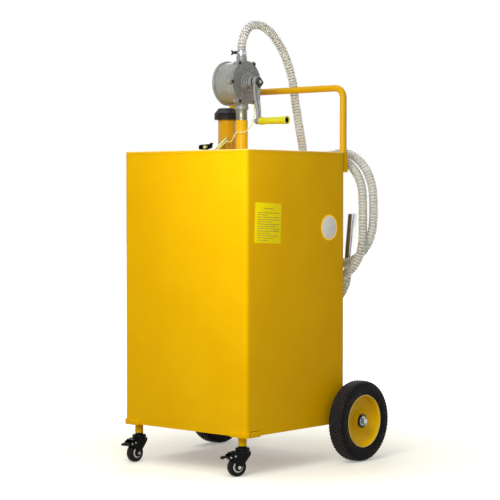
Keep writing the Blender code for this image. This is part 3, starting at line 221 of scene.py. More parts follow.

# Chromed tube: near-perfect mirror. On the flank turned to the tank its colour is painted greyer
# and darker, a painted reflection of the tank's shaded side, and it is duller there
chrome_tube = coat("chromed_tube", "#dcdde0", 0.07, 1.0, skin=(40, 1, 0.3, 0.08))
tree = chrome_tube.node_tree
normal = add(tree, "ShaderNodeSeparateXYZ", [add(tree, "ShaderNodeNewGeometry").outputs["Normal"]])
shaded_flank = add(tree, MATH, [normal.outputs["X"], normal.outputs["Y"]], operation="ADD")
shaded_flank_range = {"Value": shaded_flank, "From Min": -0.55, "From Max": 0.10}
for socket, low, high in (("Metallic", 0.25, 1.0), ("Roughness", 0.3, 0.07)):
    into(chrome_tube, socket, add(tree, RANGE, {**shaded_flank_range, "To Min": low, "To Max": high}))
# Painted reflection: the base colour darkens towards the flank turned to the tank
tint(chrome_tube, add(tree, RANGE, shaded_flank_range), "#85878a", "#dcdde0", 0.0, 1.0)

# Moulded black ABS: satin with a fine spark-eroded texture
moulded_black = coat("moulded_black_abs", "#0b0a0c", 0.32, skin=(0.7, 2, 0.05, 0.5),
                     wear=(12, 2, 0.32, 0.46), Specular_IOR_Level=0.2)

# Black electrophoretic coat on pressed steel: thin, smooth, a little blue
black_coat = coat("black_coated_pressing", "#060607", 0.36, tones=(14, 3, "#050506", "#0a0a0c"),
                  skin=(1.6, 2, 0.06, 0.3), Specular_IOR_Level=0.10)

# Black oxide fasteners: dark brownish grey, slightly oily
black_oxide = coat("black_oxide_steel", "#1d1d1d", 0.42, 0.3, tones=(2, 3, "#171717", "#262524"))

# Vulcanised tyre rubber: very dark, dull, uneven in its sheen
tyre_rubber = coat("vulcanised_rubber", "#0c0b0c", 0.55, tones=(20, 4, "#0a090a", "#100f10"),
                   skin=(0.9, 3, 0.06, 0.5), wear=(15, 3, 0.5, 0.75), Specular_IOR_Level=0.10)

# The same rubber on the tread's raised diamonds, made greyer and glossier than the sidewall
tread_rubber = coat("greyer_tread_rubber", "#292728", 0.7, tones=(7, 4, "#211f20", "#353233"),
                    skin=(0.9, 3, 0.06, 0.6), Specular_IOR_Level=0.35)

# Small caster tyre: thermoplastic rubber, smoother
caster_rubber = coat("thermoplastic_rubber", "#0b0a0b", 0.45, tones=(5, 3, "#090809", "#0f0e0f"),
                     Specular_IOR_Level=0.15)

# Polypropylene ring of the caster wheel: off-white, waxy
waxy_ring = coat("pale_polypropylene", "#d9d9d4", 0.35, tones=(4, 3, "#d0d0cb", "#e2e2dd"),
                 Subsurface_Weight=0.15, Subsurface_Scale=4 * MM)

# Dipped fluorescent vinyl of the grip: strong greenish yellow, soft sheen
lime_vinyl = coat("dipped_fluorescent_vinyl", "#cfda19", 0.36, tones=(18, 3, "#cbc912", "#dad61e"),
                  skin=(2.5, 2, 0.10, 0.4), Subsurface_Weight=0.1, Subsurface_Scale=4 * MM)

# Clear vinyl hose, milky with a stiffer ring at every pitch. The grooves between the rings carry
# painted shade as dark ticks, stronger on some stretches than on others
hose_ring_pitch = 8.4 * MM
clear_vinyl = coat("clear_ringed_vinyl", "#f2f1e8", 0.22, IOR=1.45, Transmission_Weight=0.62,
                   Subsurface_Weight=0.1, Subsurface_Scale=4 * MM)
tree = clear_vinyl.node_tree
reach = add(tree, "ShaderNodeAttribute", attribute_name="along").outputs["Fac"]
phase = add(tree, MATH, [reach, 2 * math.pi / hose_ring_pitch], operation="MULTIPLY")
rings = add(tree, MATH, [phase], operation="COSINE")
groove_shade_mask = add(tree, RANGE, {"Value": rings, "From Min": -0.95, "From Max": -0.40,
                           "To Min": 1.0, "To Max": 0.0})
shade_strength = add(tree, RANGE, {"Value": grain(clear_vinyl, 14), "From Min": 0.35, "From Max": 0.65,
                            "To Min": 0.28, "To Max": 0.72})
painted_groove_shade = add(tree, MATH, [groove_shade_mask, shade_strength], operation="MULTIPLY")
wall = add(tree, "ShaderNodeMix", {0: grain(clear_vinyl, 40, 3), 6: hex_colour("#efeee5"),
                                   7: hex_colour("#faf9f2")}, data_type="RGBA")
# Painted shade: dark ticks laid over the milky wall in the grooves between the rings
groove_shaded_wall = add(tree, "ShaderNodeMix", {0: painted_groove_shade, 6: wall.outputs[2], 7: hex_colour("#55534c")},
             data_type="RGBA")
into(clear_vinyl, "Base Color", groove_shaded_wall, 2)
relief(clear_vinyl, rings, 0.5, 0.8)

# Clear sleeve over the earth wire's copper: pale yellow-green, glossy
wire_sleeve = coat("clear_wire_sleeve", "#dfe48c", 0.25, tones=(6, 2, "#d3dc7e", "#ecf0a6"))

# Natural polyethylene of the suction tube, and nitrile of the cap's gasket
natural_tube = coat("natural_polyethylene", "#d4d6d2", 0.4, tones=(25, 3, "#cccfca", "#dcdeda"))
nitrile = coat("nitrile_rubber", "#1c1c1c", 0.7, skin=(0.8, 2, 0.05, 0.5))

# Self-adhesive films: fluorescent yellow, white, the grey of the rules, the disc's amber border.
# The yellow film and the amber border glow faintly, painted light that brightens them
yellow_film = coat("yellow_film", "#ffe400", 0.5, tones=(25, 3, "#fbdf00", "#ffe808"),
                   Specular_IOR_Level=0.1, Emission_Strength=0.10,
                   Emission_Color=hex_colour("#ffe000"))
white_film = coat("white_film", "#f8f6f1", 0.42, tones=(12, 3, "#f4f2ec", "#fcfaf6"))
grey_ink = coat("grey_ink", "#766f2c", 0.5, tones=(3, 3, "#686224", "#837b32"))
amber_ink = coat("amber_ink", "#ffd028", 0.4, tones=(10, 3, "#ffc81c", "#ffd634"),
                 Emission_Strength=0.3, Emission_Color=hex_colour("#ffb400"))


def new_piece(name, mesh, finish, slot, *replaces, body="caddy", crease=35):
    """A finished piece at the origin, riding on its body in place of the CAD nodes named."""
    thing = linked(name, mesh)
    mesh.name = name
    mesh.materials.clear()
    mesh.materials.append(finish)
    mesh.shade_smooth()
    mesh.set_sharp_from_angle(angle=math.radians(crease))
    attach(thing, body)
    if replaces:
        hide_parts(*replaces)
    return thing


# Shapes, in metres
def mm(*points):
    """Points given in millimetres."""
    return [tuple(round(v * MM, 7) for v in point) for point in points]


def circle(count, radius):
    turns = [2 * math.pi * i / count for i in range(count)]
    return [(radius * math.cos(turn), radius * math.sin(turn)) for turn in turns]


def settled_mesh(build, mesh, gap, turn, at):
    """Merges corners closer than the gap, turns the faces outwards and moves the shape."""
    bmesh.ops.remove_doubles(build, verts=build.verts, dist=gap)
    bmesh.ops.recalc_face_normals(build, faces=build.faces)
    if turn is not None:
        bmesh.ops.transform(build, matrix=turn.to_4x4(), verts=build.verts)
    bmesh.ops.translate(build, vec=Vector(at), verts=build.verts)
    build.to_mesh(mesh)
    build.free()
    return mesh


def to_mesh(verts, faces, turn=None, at=(0, 0, 0)):
    """A clean mesh from corners and faces, put in place."""
    build = bmesh.new()
    made = [build.verts.new(v) for v in verts]
    for face in faces:
        build.faces.new([made[i] for i in face])
    return settled_mesh(build, bpy.data.meshes.new("shape"), 1e-7, turn, at)


def joined(*meshes):
    """Several meshes as one."""
    build = bmesh.new()
    for mesh in meshes:
        build.from_mesh(mesh)
    whole = bpy.data.meshes.new("shape")
    build.to_mesh(whole)
    build.free()
    return whole


def moved(mesh, matrix):
    mesh.transform(matrix)
    return mesh


def evaluated(holder, *tools):
    """A holder's shape as its modifiers leave it, as a plain mesh. The holder and tools go."""
    graph = bpy.context.evaluated_depsgraph_get()
    mesh = bpy.data.meshes.new_from_object(holder.evaluated_get(graph))
    for thing in (holder, *tools):
        bpy.data.objects.remove(thing)
    return mesh


def eased(profile, radius, steps=3):
    """A closed profile with its corners rounded. radius is one value, or one for each corner."""
    points = []
    for i, here in enumerate(profile):
        r = radius[i] if isinstance(radius, (list, tuple)) else radius
        here = Vector(here)
        back = Vector(profile[i - 1]) - here
        on = Vector(profile[(i + 1) % len(profile)]) - here
        if (r <= 0 or min(back.length, on.length) < 1e-6
                or abs(back.normalized().dot(on.normalized())) > 0.999):
            points.append(here)
            continue
        reach = min(r / math.tan(back.angle(on) / 2), 0.45 * back.length, 0.45 * on.length)
        start = here + back.normalized() * reach
        end = here + on.normalized() * reach
        for step in range(steps + 1):
            t = step / steps
            points.append(start.lerp(here, t).lerp(here.lerp(end, t), t))
    return points


def spun(profile, steps=96, turn=None, at=(0, 0, 0), ease=0.0):
    """A closed profile of (radius, height) turned about Z. It may run down the axis."""
    if ease:
        profile = eased(profile, ease)
    rows, verts, faces = [], [], []
    for radius, height in profile:
        on_axis = radius < 1e-7
        rows.append([len(verts) + (0 if on_axis else i) for i in range(steps)])
        verts += [(x, y, height) for x, y in ([(0, 0)] if on_axis else circle(steps, radius))]
    for a, b in zip(rows, rows[1:] + rows[:1]):
        for i in range(steps):
            j = (i + 1) % steps
            corner = list(dict.fromkeys((a[i], a[j], b[j], b[i])))
            if len(corner) > 2:
                faces.append(corner)
    return to_mesh(verts, faces, turn, at)


def about_x(profile, at, steps=96, ease=0.0):
    """Turned about an axis along X; the profile is (radius, distance along X)."""
    return spun(profile, steps, along_x, at, ease)


def mirrored(half):
    """A profile followed by its mirror image."""
    return half + [(r, -x) for r, x in half[::-1]]


def along(points, spacing):
    """Points evenly spaced on a smooth curve through the given ones, and its length."""
    given = [Vector(p) for p in points]
    ends = [given[0] * 2 - given[1]] + given + [given[-1] * 2 - given[-2]]
    fine = []
    per_span = 24
    for a, b, c, d in zip(ends, ends[1:], ends[2:], ends[3:]):
        pairs = ((a, b), (b, c), (c, d))
        knots = [0.0]
        for p, q in pairs:
            knots.append(knots[-1] + math.sqrt(max((q - p).length, 1e-5)))
        for step in range(per_span):
            t = knots[1] + (knots[2] - knots[1]) * step / per_span
            one = [p.lerp(q, (t - knots[i]) / (knots[i + 1] - knots[i]))
                   for i, (p, q) in enumerate(pairs)]
            two = [one[i].lerp(one[i + 1], (t - knots[i]) / (knots[i + 2] - knots[i]))
                   for i in range(2)]
            fine.append(two[0].lerp(two[1], (t - knots[1]) / (knots[2] - knots[1])))
    fine.append(given[-1])
    marks = np.array([tuple(p) for p in fine])
    reach = np.concatenate([[0], np.cumsum(np.linalg.norm(np.diff(marks, axis=0), axis=1))])
    want = np.linspace(0, reach[-1], max(2, round(reach[-1] / spacing)) + 1)
    route = np.stack([np.interp(want, reach, marks[:, i]) for i in range(3)], 1)
    return [Vector(p) for p in route], float(reach[-1])


def bar(points, sections, across=None):
    """A bar along points, through one section for each, whose corners lie (across, out)."""
    points = [Vector(p) for p in points]
    last = len(points) - 1
    tangents = [(points[min(i + 1, last)] - points[max(i - 1, 0)]).normalized()
                for i in range(last + 1)]
    side = (Vector(across) if across else tangents[0].orthogonal()).normalized()
    verts = []
    for point, tangent, section in zip(points, tangents, sections):
        side = (side - tangent * side.dot(tangent)).normalized()
        out = tangent.cross(side)
        verts += [point + side * a + out * b for a, b in section]
    n = len(sections[0])
    faces = [(i * n + k, i * n + (k + 1) % n, (i + 1) * n + (k + 1) % n, (i + 1) * n + k)
             for i in range(last) for k in range(n)]
    faces += [list(range(n))[::-1], [last * n + k for k in range(n)]]
    return to_mesh(verts, faces)


def swept(points, radius, sides=16, across=None):
    """A round bar along points. radius is one value, or one for each point."""
    radii = radius if isinstance(radius, (list, tuple)) else [radius] * len(points)
    return bar(points, [circle(sides, r) for r in radii], across)


def cut_plate(outlines, thickness, edge=0.0, turn=None, at=(0, 0, 0)):
    """A flat plate from closed outlines, the inner ones holes, with an eased rim."""
    curve = bpy.data.curves.new("plate", "CURVE")
    curve.dimensions = "2D"
    curve.fill_mode = "BOTH"
    curve.extrude = thickness / 2 - edge
    curve.bevel_depth = edge
    curve.bevel_resolution = 2
    curve.offset = -edge
    for outline in outlines:
        spline = curve.splines.new("POLY")
        spline.points.add(len(outline) - 1)
        for point, (u, v) in zip(spline.points, outline):
            point.co = (u, v, 0, 1)
        spline.use_cyclic_u = True
    mesh = evaluated(linked("plate", curve))
    build = bmesh.new()
    build.from_mesh(mesh)
    return settled_mesh(build, mesh, 1e-6, turn, at)


def blended(meshes, voxel, smooth=3):
    """Meshes melted into one casting: remeshed together, then smoothed for soft fillets."""
    holder = linked("casting", joined(*meshes))
    melt = holder.modifiers.new("melt", "REMESH")
    melt.mode = "VOXEL"
    melt.voxel_size = voxel
    soften = holder.modifiers.new("soften", "SMOOTH")
    soften.factor = 0.5
    soften.iterations = smooth
    return evaluated(holder)


def carved(mesh, cutter):
    """A mesh with another cut out of it."""
    holder, tool = linked("stock", mesh), linked("cutter", cutter)
    cut = holder.modifiers.new("cut", "BOOLEAN")
    cut.operation = "DIFFERENCE"
    cut.solver = "EXACT"
    cut.object = tool
    return evaluated(holder, tool)


def rounded_outline(width, depth, radius, steps=10, middle=(0, 0)):
    points = []
    for corner, (across, forth) in enumerate(((1, 1), (-1, 1), (-1, -1), (1, -1))):
        x = middle[0] + across * (width / 2 - radius)
        y = middle[1] + forth * (depth / 2 - radius)
        for step in range(steps + 1):
            angle = math.pi / 2 * (corner + step / steps)
            points.append((x + radius * math.cos(angle), y + radius * math.sin(angle)))
    return points


along_x = Matrix(((0, 0, 1), (0, 1, 0), (-1, 0, 0)))
flat_in_yz = Matrix(((0, 0, 1), (1, 0, 0), (0, 1, 0)))
flat_in_xz = Matrix(((1, 0, 0), (0, 0, -1), (0, 1, 0)))


# Geometry Nodes trees
def node_tree(name, sizes):
    """A tree that takes a mesh or curve, named sizes and a finish, and its inputs."""
    tree = bpy.data.node_groups.new(name, "GeometryNodeTree")
    tree.interface.new_socket("Geometry", in_out="OUTPUT", socket_type="NodeSocketGeometry")
    kinds = {label: "Int" if isinstance(size, int) else "Float" for label, size in sizes.items()}
    for label, kind in {"Geometry": "Geometry", **kinds, "Material": "Material"}.items():
        tree.interface.new_socket(label, in_out="INPUT", socket_type=f"NodeSocket{kind}")
    return tree, add(tree, "NodeGroupInput").outputs


def end_tree(tree, given, shape):
    """Makes the instances real, gives the shape its finish and sends it out."""
    real = add(tree, "GeometryNodeRealizeInstances", [shape])
    add(tree, "NodeGroupOutput", [add(tree, "GeometryNodeSetMaterial", {
        "Geometry": real, "Material": given["Material"]})])


def end_with_copies(tree, given, count, place, turn):
    """Ends a tree with copies of the given mesh, each at its place and turned about an axis."""
    cloud = add(tree, "GeometryNodePoints", {"Count": count})
    placed = add(tree, "GeometryNodeSetPosition", {"Geometry": cloud, "Position": place})
    facing = add(tree, "FunctionNodeEulerToRotation", [add(tree, "ShaderNodeCombineXYZ", turn)])
    end_tree(tree, given, add(tree, "GeometryNodeInstanceOnPoints", {
        "Points": placed, "Instance": given["Geometry"], "Rotation": facing}))


def baked(mesh_or_curve, tree, finish, sizes):
    """The tree's result on a mesh or curve, as a plain mesh."""
    holder = linked("holder", mesh_or_curve)
    modifier = holder.modifiers.new("tree", "NODES")
    modifier.node_group = tree
    values = {**sizes, "Material": finish}
    for item in tree.interface.items_tree:
        if item.in_out == "INPUT" and item.name in values:
            modifier[item.identifier] = values[item.name]
    return evaluated(holder)


# Hose
hose_radius = 11.5 * MM
hose_sizes = {"Outer Radius": hose_radius, "Wall": 2.7 * MM, "Ring Pitch": hose_ring_pitch,
              "Ring Height": 1.1 * MM, "Plain End": 14 * MM, "Sides": 22}
hose_lead_route = mm(
    (0, -14.5, 1117.6), (0, -14.5, 1126), (0, -14.5, 1134), (0, -14.5, 1141), (0.5, -11, 1160),
    (2, 12, 1194.5), (3, 53, 1204.5), (3, 96.5, 1191.5), (1.5, 133.5, 1166.5),
    (1.5, 162.5, 1134.5), (2.5, 183, 1099), (4.5, 196.5, 1062), (7, 202, 1029), (11.5, 202, 997),
    (19, 201.5, 964), (29, 201, 917), (39, 200.5, 872), (45, 200.5, 825), (45, 200.5, 770),
    (45, 200.5, 740))

# Each quarter turn of the coil: its middle across and up, then half its width and height
coil_quarters = mm(
    (145, 613, 100, 113), (145, 613, 100, 113), (145, 720, 100, 111), (145, 720, 112, 111),
    (145, 663, 112, 125), (145, 663, 116.5, 125), (145, 715, 116.5, 135), (145, 715, 167, 135),
    (64.5, 511, 86.5, 91), (64.5, 511, 86.5, 91))
coil_steps = 6
coil_layer = 26.5 * MM
coil_tail = 44 * MM
spout_tilt = math.radians(6)
tail_direction = Vector((math.sin(spout_tilt), 0, math.cos(spout_tilt)))


def coil_route():
    """The hung loops, quarter turn by quarter turn, then the low bend up to the spout."""
    points = []
    for quarter, (middle_x, middle_z, half_width, half_height) in enumerate(coil_quarters):
        for step in range(quarter % 2, coil_steps + 1):
            turns = quarter + step / coil_steps
            angle = math.pi + math.pi / 2 * turns
            points.append(Vector((middle_x + half_width * math.cos(angle),
                                  hose_lead_route[-1][1] + coil_layer * turns / 4,
                                  middle_z + half_height * math.sin(angle))))
    return points + [points[-1] + tail_direction * coil_tail * share for share in (0.4, 0.7, 1.0)]


# A hose along a curve: its outside swells into a ring at every pitch, its bore stays plain
hose_tree, given = node_tree("ringed_hose", hose_sizes)
reach = add(hose_tree, "GeometryNodeSplineParameter").outputs["Length"]
turns = add(hose_tree, MATH, [reach, given["Ring Pitch"]], operation="DIVIDE")
phase = add(hose_tree, MATH, [turns, 2 * math.pi], operation="MULTIPLY")
wave = add(hose_tree, MATH, [phase], operation="COSINE")
whole = add(hose_tree, "GeometryNodeSplineLength").outputs["Length"]
left_over = add(hose_tree, MATH, [whole, reach], operation="SUBTRACT")
from_end = add(hose_tree, MATH, [reach, left_over], operation="MINIMUM")
past_end = add(hose_tree, MATH, [from_end, given["Plain End"]], operation="DIVIDE")
fade = add(hose_tree, RANGE, {"Value": past_end, "From Min": 1.0, "From Max": 1.6})
swell = add(hose_tree, RANGE, {"Value": wave, "From Min": -1.0, "To Max": given["Ring Height"]})
faded = add(hose_tree, MATH, [swell, fade], operation="MULTIPLY")
outer = add(hose_tree, MATH, [given["Outer Radius"], faded], operation="ADD")
inner = add(hose_tree, MATH, [given["Outer Radius"], given["Wall"]], operation="SUBTRACT")
marked = add(hose_tree, "GeometryNodeStoreNamedAttribute",
             {"Geometry": given["Geometry"], "Name": "along", "Value": reach},
             data_type="FLOAT", domain="POINT")
section = add(hose_tree, "GeometryNodeCurvePrimitiveCircle",
              {"Resolution": given["Sides"], "Radius": 1.0})
both = add(hose_tree, "GeometryNodeJoinGeometry")
for size in (outer, inner):
    tube = add(hose_tree, "GeometryNodeCurveToMesh",
               {"Curve": marked, "Profile Curve": section, "Scale": size})
    if size == inner:
        tube = add(hose_tree, "GeometryNodeFlipFaces", [tube])
    hose_tree.links.new(tube.outputs[0], both.inputs[0])
end_tree(hose_tree, given, both)


def capped_hose(points):
    """The hose's outside and bore, joined at both ends by flat rings."""
    curve = bpy.data.curves.new("hose_line", "CURVE")
    curve.dimensions = "3D"
    spline = curve.splines.new("POLY")
    spline.points.add(len(points) - 1)
    for point, place in zip(spline.points, points):
        point.co = (*place, 1)
    mesh = baked(curve, hose_tree, clear_vinyl, hose_sizes)
    build = bmesh.new()
    build.from_mesh(mesh)
    open_edges = [e for e in build.edges if e.is_boundary]
    for end in (points[0], points[-1]):
        near = [e for e in open_edges if (e.verts[0].co - end).length < 2 * hose_radius]
        bmesh.ops.bridge_loops(build, edges=near)
    bmesh.ops.recalc_face_normals(build, faces=build.faces)
    build.to_mesh(mesh)
    build.free()
    return mesh


hose_points = hose_lead_route + coil_route()
hose_end = hose_points[-1]
fine_hose, hose_length = along(hose_points, hose_ring_pitch / 6)
hose = new_piece("fuel_hose", capped_hose(fine_hose), clear_vinyl, "hose", "hose_lead",
                 "hose_coil", crease=80)

# Earth lead: from the pump's foot across the lid, its spare length wound in a hank, to the clip
wire_radius = 1.5 * MM
ground_route = mm(
    (20.3, 15.5, 986), (21.5, 14.5, 975), (30, 5, 966), (40, -4, 957), (40, -10.5, 940),
    (36, -14.5, 925), (29, -20.5, 913), (23, -26, 905), (13, -35.5, 903), (5, -41.5, 904),
    (-0.5, -45, 893), (-8, -47, 881), (-20, -44, 878), (-31, -41.5, 880), (-37.5, -44, 875.2))
hank_tail_route = mm(
    (-44.8, -52.6, 868.2), (-49, -57.2, 861), (-56, -61.2, 854.5), (-64, -62.5, 852.2),
    (-71.8, -62.5, 852.1))
hank_centre = Vector((-0.0600, -0.0300, 0.8706))
hank_half_width = 26 * MM
hank_half_height = 25.5 * MM
hank_turns = 7
hank_steps = 32
hank_step_in = 4 * MM
hank_spread = 5.2 * MM
hank_lean = math.radians(46)
hank_turn = math.radians(-42)


def hank_route():
    """The spare earth lead, wound inwards in one layer and out again in the next."""
    lean = Matrix.Rotation(hank_turn, 3, "Z") @ Matrix.Rotation(hank_lean, 3, "X")
    half_turns = hank_turns / 2
    points = []
    for i in range(hank_turns * hank_steps + 1):
        turns = i / hank_steps
        angle = -2 * math.pi * turns
        shrink = hank_step_in * (half_turns - abs(turns - half_turns))
        climb = min(1.0, max(0.0, (turns - half_turns) * 2 + 1 / 2))
        points.append(hank_centre + lean @ Vector((
            (hank_half_width - shrink) * math.cos(angle),
            (hank_half_height - shrink) * math.sin(angle), hank_spread * climb)))
    tail = along([*points[-2:], *hank_tail_route], 2 * wire_radius)[0]
    return points[:-1] + tail[1:]


hank = hank_route()
wire_points = along([*ground_route, hank[0]], 2 * wire_radius)[0][:-1] + hank
wire = new_piece("earth_wire", swept(wire_points, wire_radius, 10), wire_sleeve, "wire",
                 "ground_wire", "ground_hank", crease=80)

# Copies of a mesh standing on a circle about Z, turned with it
circle_tree, given = node_tree("copies_on_a_circle",
                               {"Count": 6, "Circle Radius": 60 * MM, "Start Turn": 0.0})
index = add(circle_tree, "GeometryNodeInputIndex")
share = add(circle_tree, MATH, [index, given["Count"]], operation="DIVIDE")
angle = add(circle_tree, MATH, [share, 2 * math.pi, given["Start Turn"]], operation="MULTIPLY_ADD")
spot = add(circle_tree, "ShaderNodeCombineXYZ")
for axis, kind in enumerate(("COSINE", "SINE")):
    wave = add(circle_tree, MATH, [angle], operation=kind)
    reach = add(circle_tree, MATH, [wave, given["Circle Radius"]], operation="MULTIPLY")
    circle_tree.links.new(reach.outputs[0], spot.inputs[axis])
end_with_copies(circle_tree, given, given["Count"], spot, {"Z": angle})


def on_circle(mesh, finish, count, radius, start=0.0):
    return baked(mesh, circle_tree, finish,
                 {"Count": count, "Circle Radius": radius, "Start Turn": start})


def cap_screw(radius, height, socket):
    """A socket-head screw standing on Z = 0."""
    return spun([(0, height - socket), (radius * 0.5, height - socket), (radius * 0.5, height),
                 (radius * 0.86, height), (radius, height * 0.8), (radius, 0), (0, 0)], 20)


# Filler neck, its cap and the riser
pump_y = -14.5 * MM
neck_at = (-0.100, 0.0355, 0)
riser_at = (0, pump_y, 0)
neck = spun(mm(
    (22.5, 842), (25, 842), (25, 850.3), (28, 850.3), (27.4, 852.5), (26, 853.8), (25, 854.8),
    (25, 933), (25.4, 933.8), (25.4, 935), (25, 935.8), (25, 961), (24.1, 961.9), (23.2, 961.9),
    (22.5, 961.2)), at=neck_at)
neck_radius, seam_side = 0.0251, (0.781, -0.624)
seam_x, seam_y = (neck_at[i] + neck_radius * seam_side[i] for i in range(2))
seam_line = [(seam_x, seam_y, z) for z in (0.8548, 0.875, 0.905, 0.9325)]
neck_seam = swept(along(seam_line, 0.004)[0], 0.0007, 10)
new_piece("filler_neck_pipe", joined(neck, neck_seam), neck_shaded_coat, "paint", "filler_neck")

cap_rib = swept(mm((0, 0, 945.2), (0, 0, 947), (0, 0, 956), (0, 0, 958.5)),
                [0.0003, 0.0007, 0.0007, 0.0003], 8)
cap_ribs = moved(on_circle(cap_rib, moulded_black, count=60, radius=0.0347),
                 Matrix.Translation(neck_at))
cap = spun(mm(
    (0, 965.3), (26.2, 965.3), (26.6, 964), (26.6, 944), (27.5, 943.1), (34, 943.1), (35, 943.8),
    (35.2, 945), (35, 959), (35.5, 959.8), (35.5, 961.6), (35, 962.4), (33.8, 963.2),
    (26.2, 973.2), (24.4, 975.2), (22.2, 976.1), (19.6, 976.1), (18.6, 975.2), (0, 975)),
    128, at=neck_at)
new_piece("filler_cap_shell", joined(cap, cap_ribs), moulded_black, "black_plastic", "filler_cap",
          body="cap")

riser = spun(mm(
    (14.1, 842), (16.85, 842), (16.85, 850.3), (19.9, 850.3), (19.3, 852.5), (17.9, 853.8),
    (16.85, 854.8), (16.85, 936.8), (16.2, 937.9), (15, 937.9), (14.1, 937)), 80, at=riser_at)
new_piece("riser_pipe", riser, gloss_coat, "paint", "pump_riser")
nipple = spun(mm(
    (11.2, 914), (13.6, 914), (13.8, 938.2), (15.8, 938.4), (15.8, 942), (15.6, 942.4),
    (15.6, 964), (15.8, 964.4), (15.8, 966.2), (11.2, 966.2)), 80, at=riser_at)
new_piece("nickel_nipple", nipple, nickel_pipe, "zinc", "pump_nipple")

# Pump: the drum with its bosses and lugs, melted together as one casting
pump_at = Vector((0, pump_y, 1.041))
collar_rib_foot = (0, pump_y, 1.1015)
lug_turns = [math.pi / 3 * i for i in range(6)]
body_lug_circle, cover_lug_circle, lug_radius = 0.0585, 0.0600, 0.0070


def by_pump(x, radius=0.0, turn=0.0):
    """A place along the pump's axis, or on a circle about it."""
    return pump_at + Vector((x, radius * math.cos(turn), radius * math.sin(turn)))


def about_pump(points, steps=96, ease=0.0):
    return about_x(mm(*points), pump_at, steps, ease)


drum = about_pump([(0, 11.9), (60.5, 11.9), (60.5, 6.4), (58.8, 5.4), (57, 4.6), (57, -44),
                   (57.6, -45), (57.6, -47.9), (0, -47.9)])
boss = spun(mm((0, 966.7), (18.2, 966.7), (19, 967.5), (19, 978), (17.6, 979.2), (17, 986),
               (17, 1000), (0, 1000)), 64, at=riser_at)
collar = spun(mm((0, 1082), (15, 1082), (15, 1099), (13.8, 1101), (13.8, 1114), (13, 1114.9),
                 (0, 1114.9)), 64, at=riser_at)
body_lug = mm((0, 11.9), (6.6, 11.9), (7, 11.3), (6.6, 2.2), (4, -3), (0, -4))
body_lugs = [about_x(body_lug, by_pump(0, body_lug_circle, turn), 32) for turn in lug_turns]
new_piece("pump_drum", blended([drum, boss, collar, *body_lugs], voxel=0.0012), satin_drum,
          "cast", "pump_body", crease=60)
collar_rib = swept(mm((0, 0, 0), (0, 0, 1.8), (0, 0, 10.5), (0, 0, 12.2)),
                   [0.0004, 0.0010, 0.0010, 0.0004], 8)
collar_ribs = on_circle(collar_rib, satin_drum, count=8, radius=0.0140, start=0.2)
new_piece("collar_ribs", moved(collar_ribs, Matrix.Translation(collar_rib_foot)), satin_drum,
          "cast")
new_piece("pump_rear_cap", about_pump([
    (0, -48.3), (60.6, -48.3), (61.3, -48.9), (61.5, -50), (61.5, -53.6), (60.7, -54.7),
    (59, -54.9), (57.6, -54.6), (56.9, -53.6), (56, -53.4), (54.8, -54.2), (53, -56),
    (51, -57.2), (48, -57.7), (15, -57.7), (14, -57), (0, -57)]), satin_drum, "cast",
    "pump_rear_cover", crease=50)
rear_screws = on_circle(cap_screw(radius=0.0036, height=0.0022, socket=0.0014), black_oxide,
                        count=6, radius=0.0500)
new_piece("rear_screws", moved(rear_screws, Matrix.Translation(by_pump(-0.0557))
                               @ Matrix.Rotation(math.pi, 4, "Z") @ along_x.to_4x4()),
          black_oxide, "black_steel")


# Front cover: a lobed plate with ribs, a rim and a stepped hub
def lobed(radius, steps=300, blend_width=0.004, blend_height=0.0016):
    """A round outline with the cover's lugs, blended where they meet."""
    points = []
    for u, v in circle(steps, 1.0):
        off = (math.atan2(v, u) + math.pi / 6) % (math.pi / 3) - math.pi / 6
        across = abs(cover_lug_circle * math.sin(off))
        near = max(0.0, 1 - abs(across - lug_radius) / blend_width)
        reach = radius + blend_height * near * near
        if across < lug_radius:
            reach = max(reach, cover_lug_circle * math.cos(off)
                        + math.sqrt(lug_radius ** 2 - across ** 2))
        points.append((reach * u, reach * v))
    return points


plate = cut_plate([lobed(radius=0.0592)], 0.0058, 0.0009, flat_in_yz, by_pump(0.0153))
cover_lug = mm((0, 19.6), (5.8, 19.6), (6.6, 19), (6.9, 17), (0, 17))
cover_lugs = [about_x(cover_lug, by_pump(0, cover_lug_circle, turn), 32) for turn in lug_turns]
new_piece("pump_cover", blended([plate, *cover_lugs], voxel=0.0009, smooth=2), dark_casting,
          "cast", "pump_front_cover", crease=60)
hub = about_pump([
    (0, 34.3), (19.2, 34.3), (20, 33.6), (20, 31.6), (18.6, 30.8), (18.6, 30), (23, 29.8),
    (24, 29), (24, 26.2), (22.6, 25.5), (22.6, 24.6), (26.2, 24.4), (27.2, 23.6), (27.2, 20),
    (26.2, 17.6), (0, 17.6)])
rim = about_pump([(56.2, 18), (56.8, 18.8), (58.8, 18.9), (59.7, 18.2), (59.7, 12.6),
                  (56.2, 16.5)])
new_piece("cover_hub", joined(hub, rim), cast_aluminium, "cast")
cover_ribs = [swept(along([by_pump(x, r, turn) for x, r in mm(
    (19, 25.8), (18.8, 30), (18.7, 42), (18.5, 54.5))], 0.002)[0], 0.0014, 12)
    for turn in lug_turns]
new_piece("cover_ribs", joined(*cover_ribs), cast_aluminium, "cast")
cover_screws = on_circle(cap_screw(radius=0.0042, height=0.0030, socket=0.0018), black_oxide,
                         count=6, radius=cover_lug_circle, start=math.pi / 2)
new_piece("cover_screws", moved(cover_screws, Matrix.Translation(by_pump(0.0195))
                                @ along_x.to_4x4()), black_oxide, "black_steel")
new_piece("packing_gland", about_pump([
    (7.4, 34.6), (16, 34.6), (16, 40), (15.2, 41.2), (15, 42), (15, 43.6), (14.2, 44.3),
    (10.8, 44.6), (10.4, 48), (7.4, 48)], 64, 0.0004), cast_aluminium, "cast", "gland_nut")
# A black nitrile ring between the gland and the crank's hub: a seal that also darkens the gap
# there, partly painted shade
new_piece("gland_seal_and_gap_shade", about_pump([
    (10.5, 44.9), (13.2, 44.9), (13.8, 45.5), (13.8, 47.2), (13.2, 47.8), (10.5, 47.8)], 64),
    nitrile, "rubber")

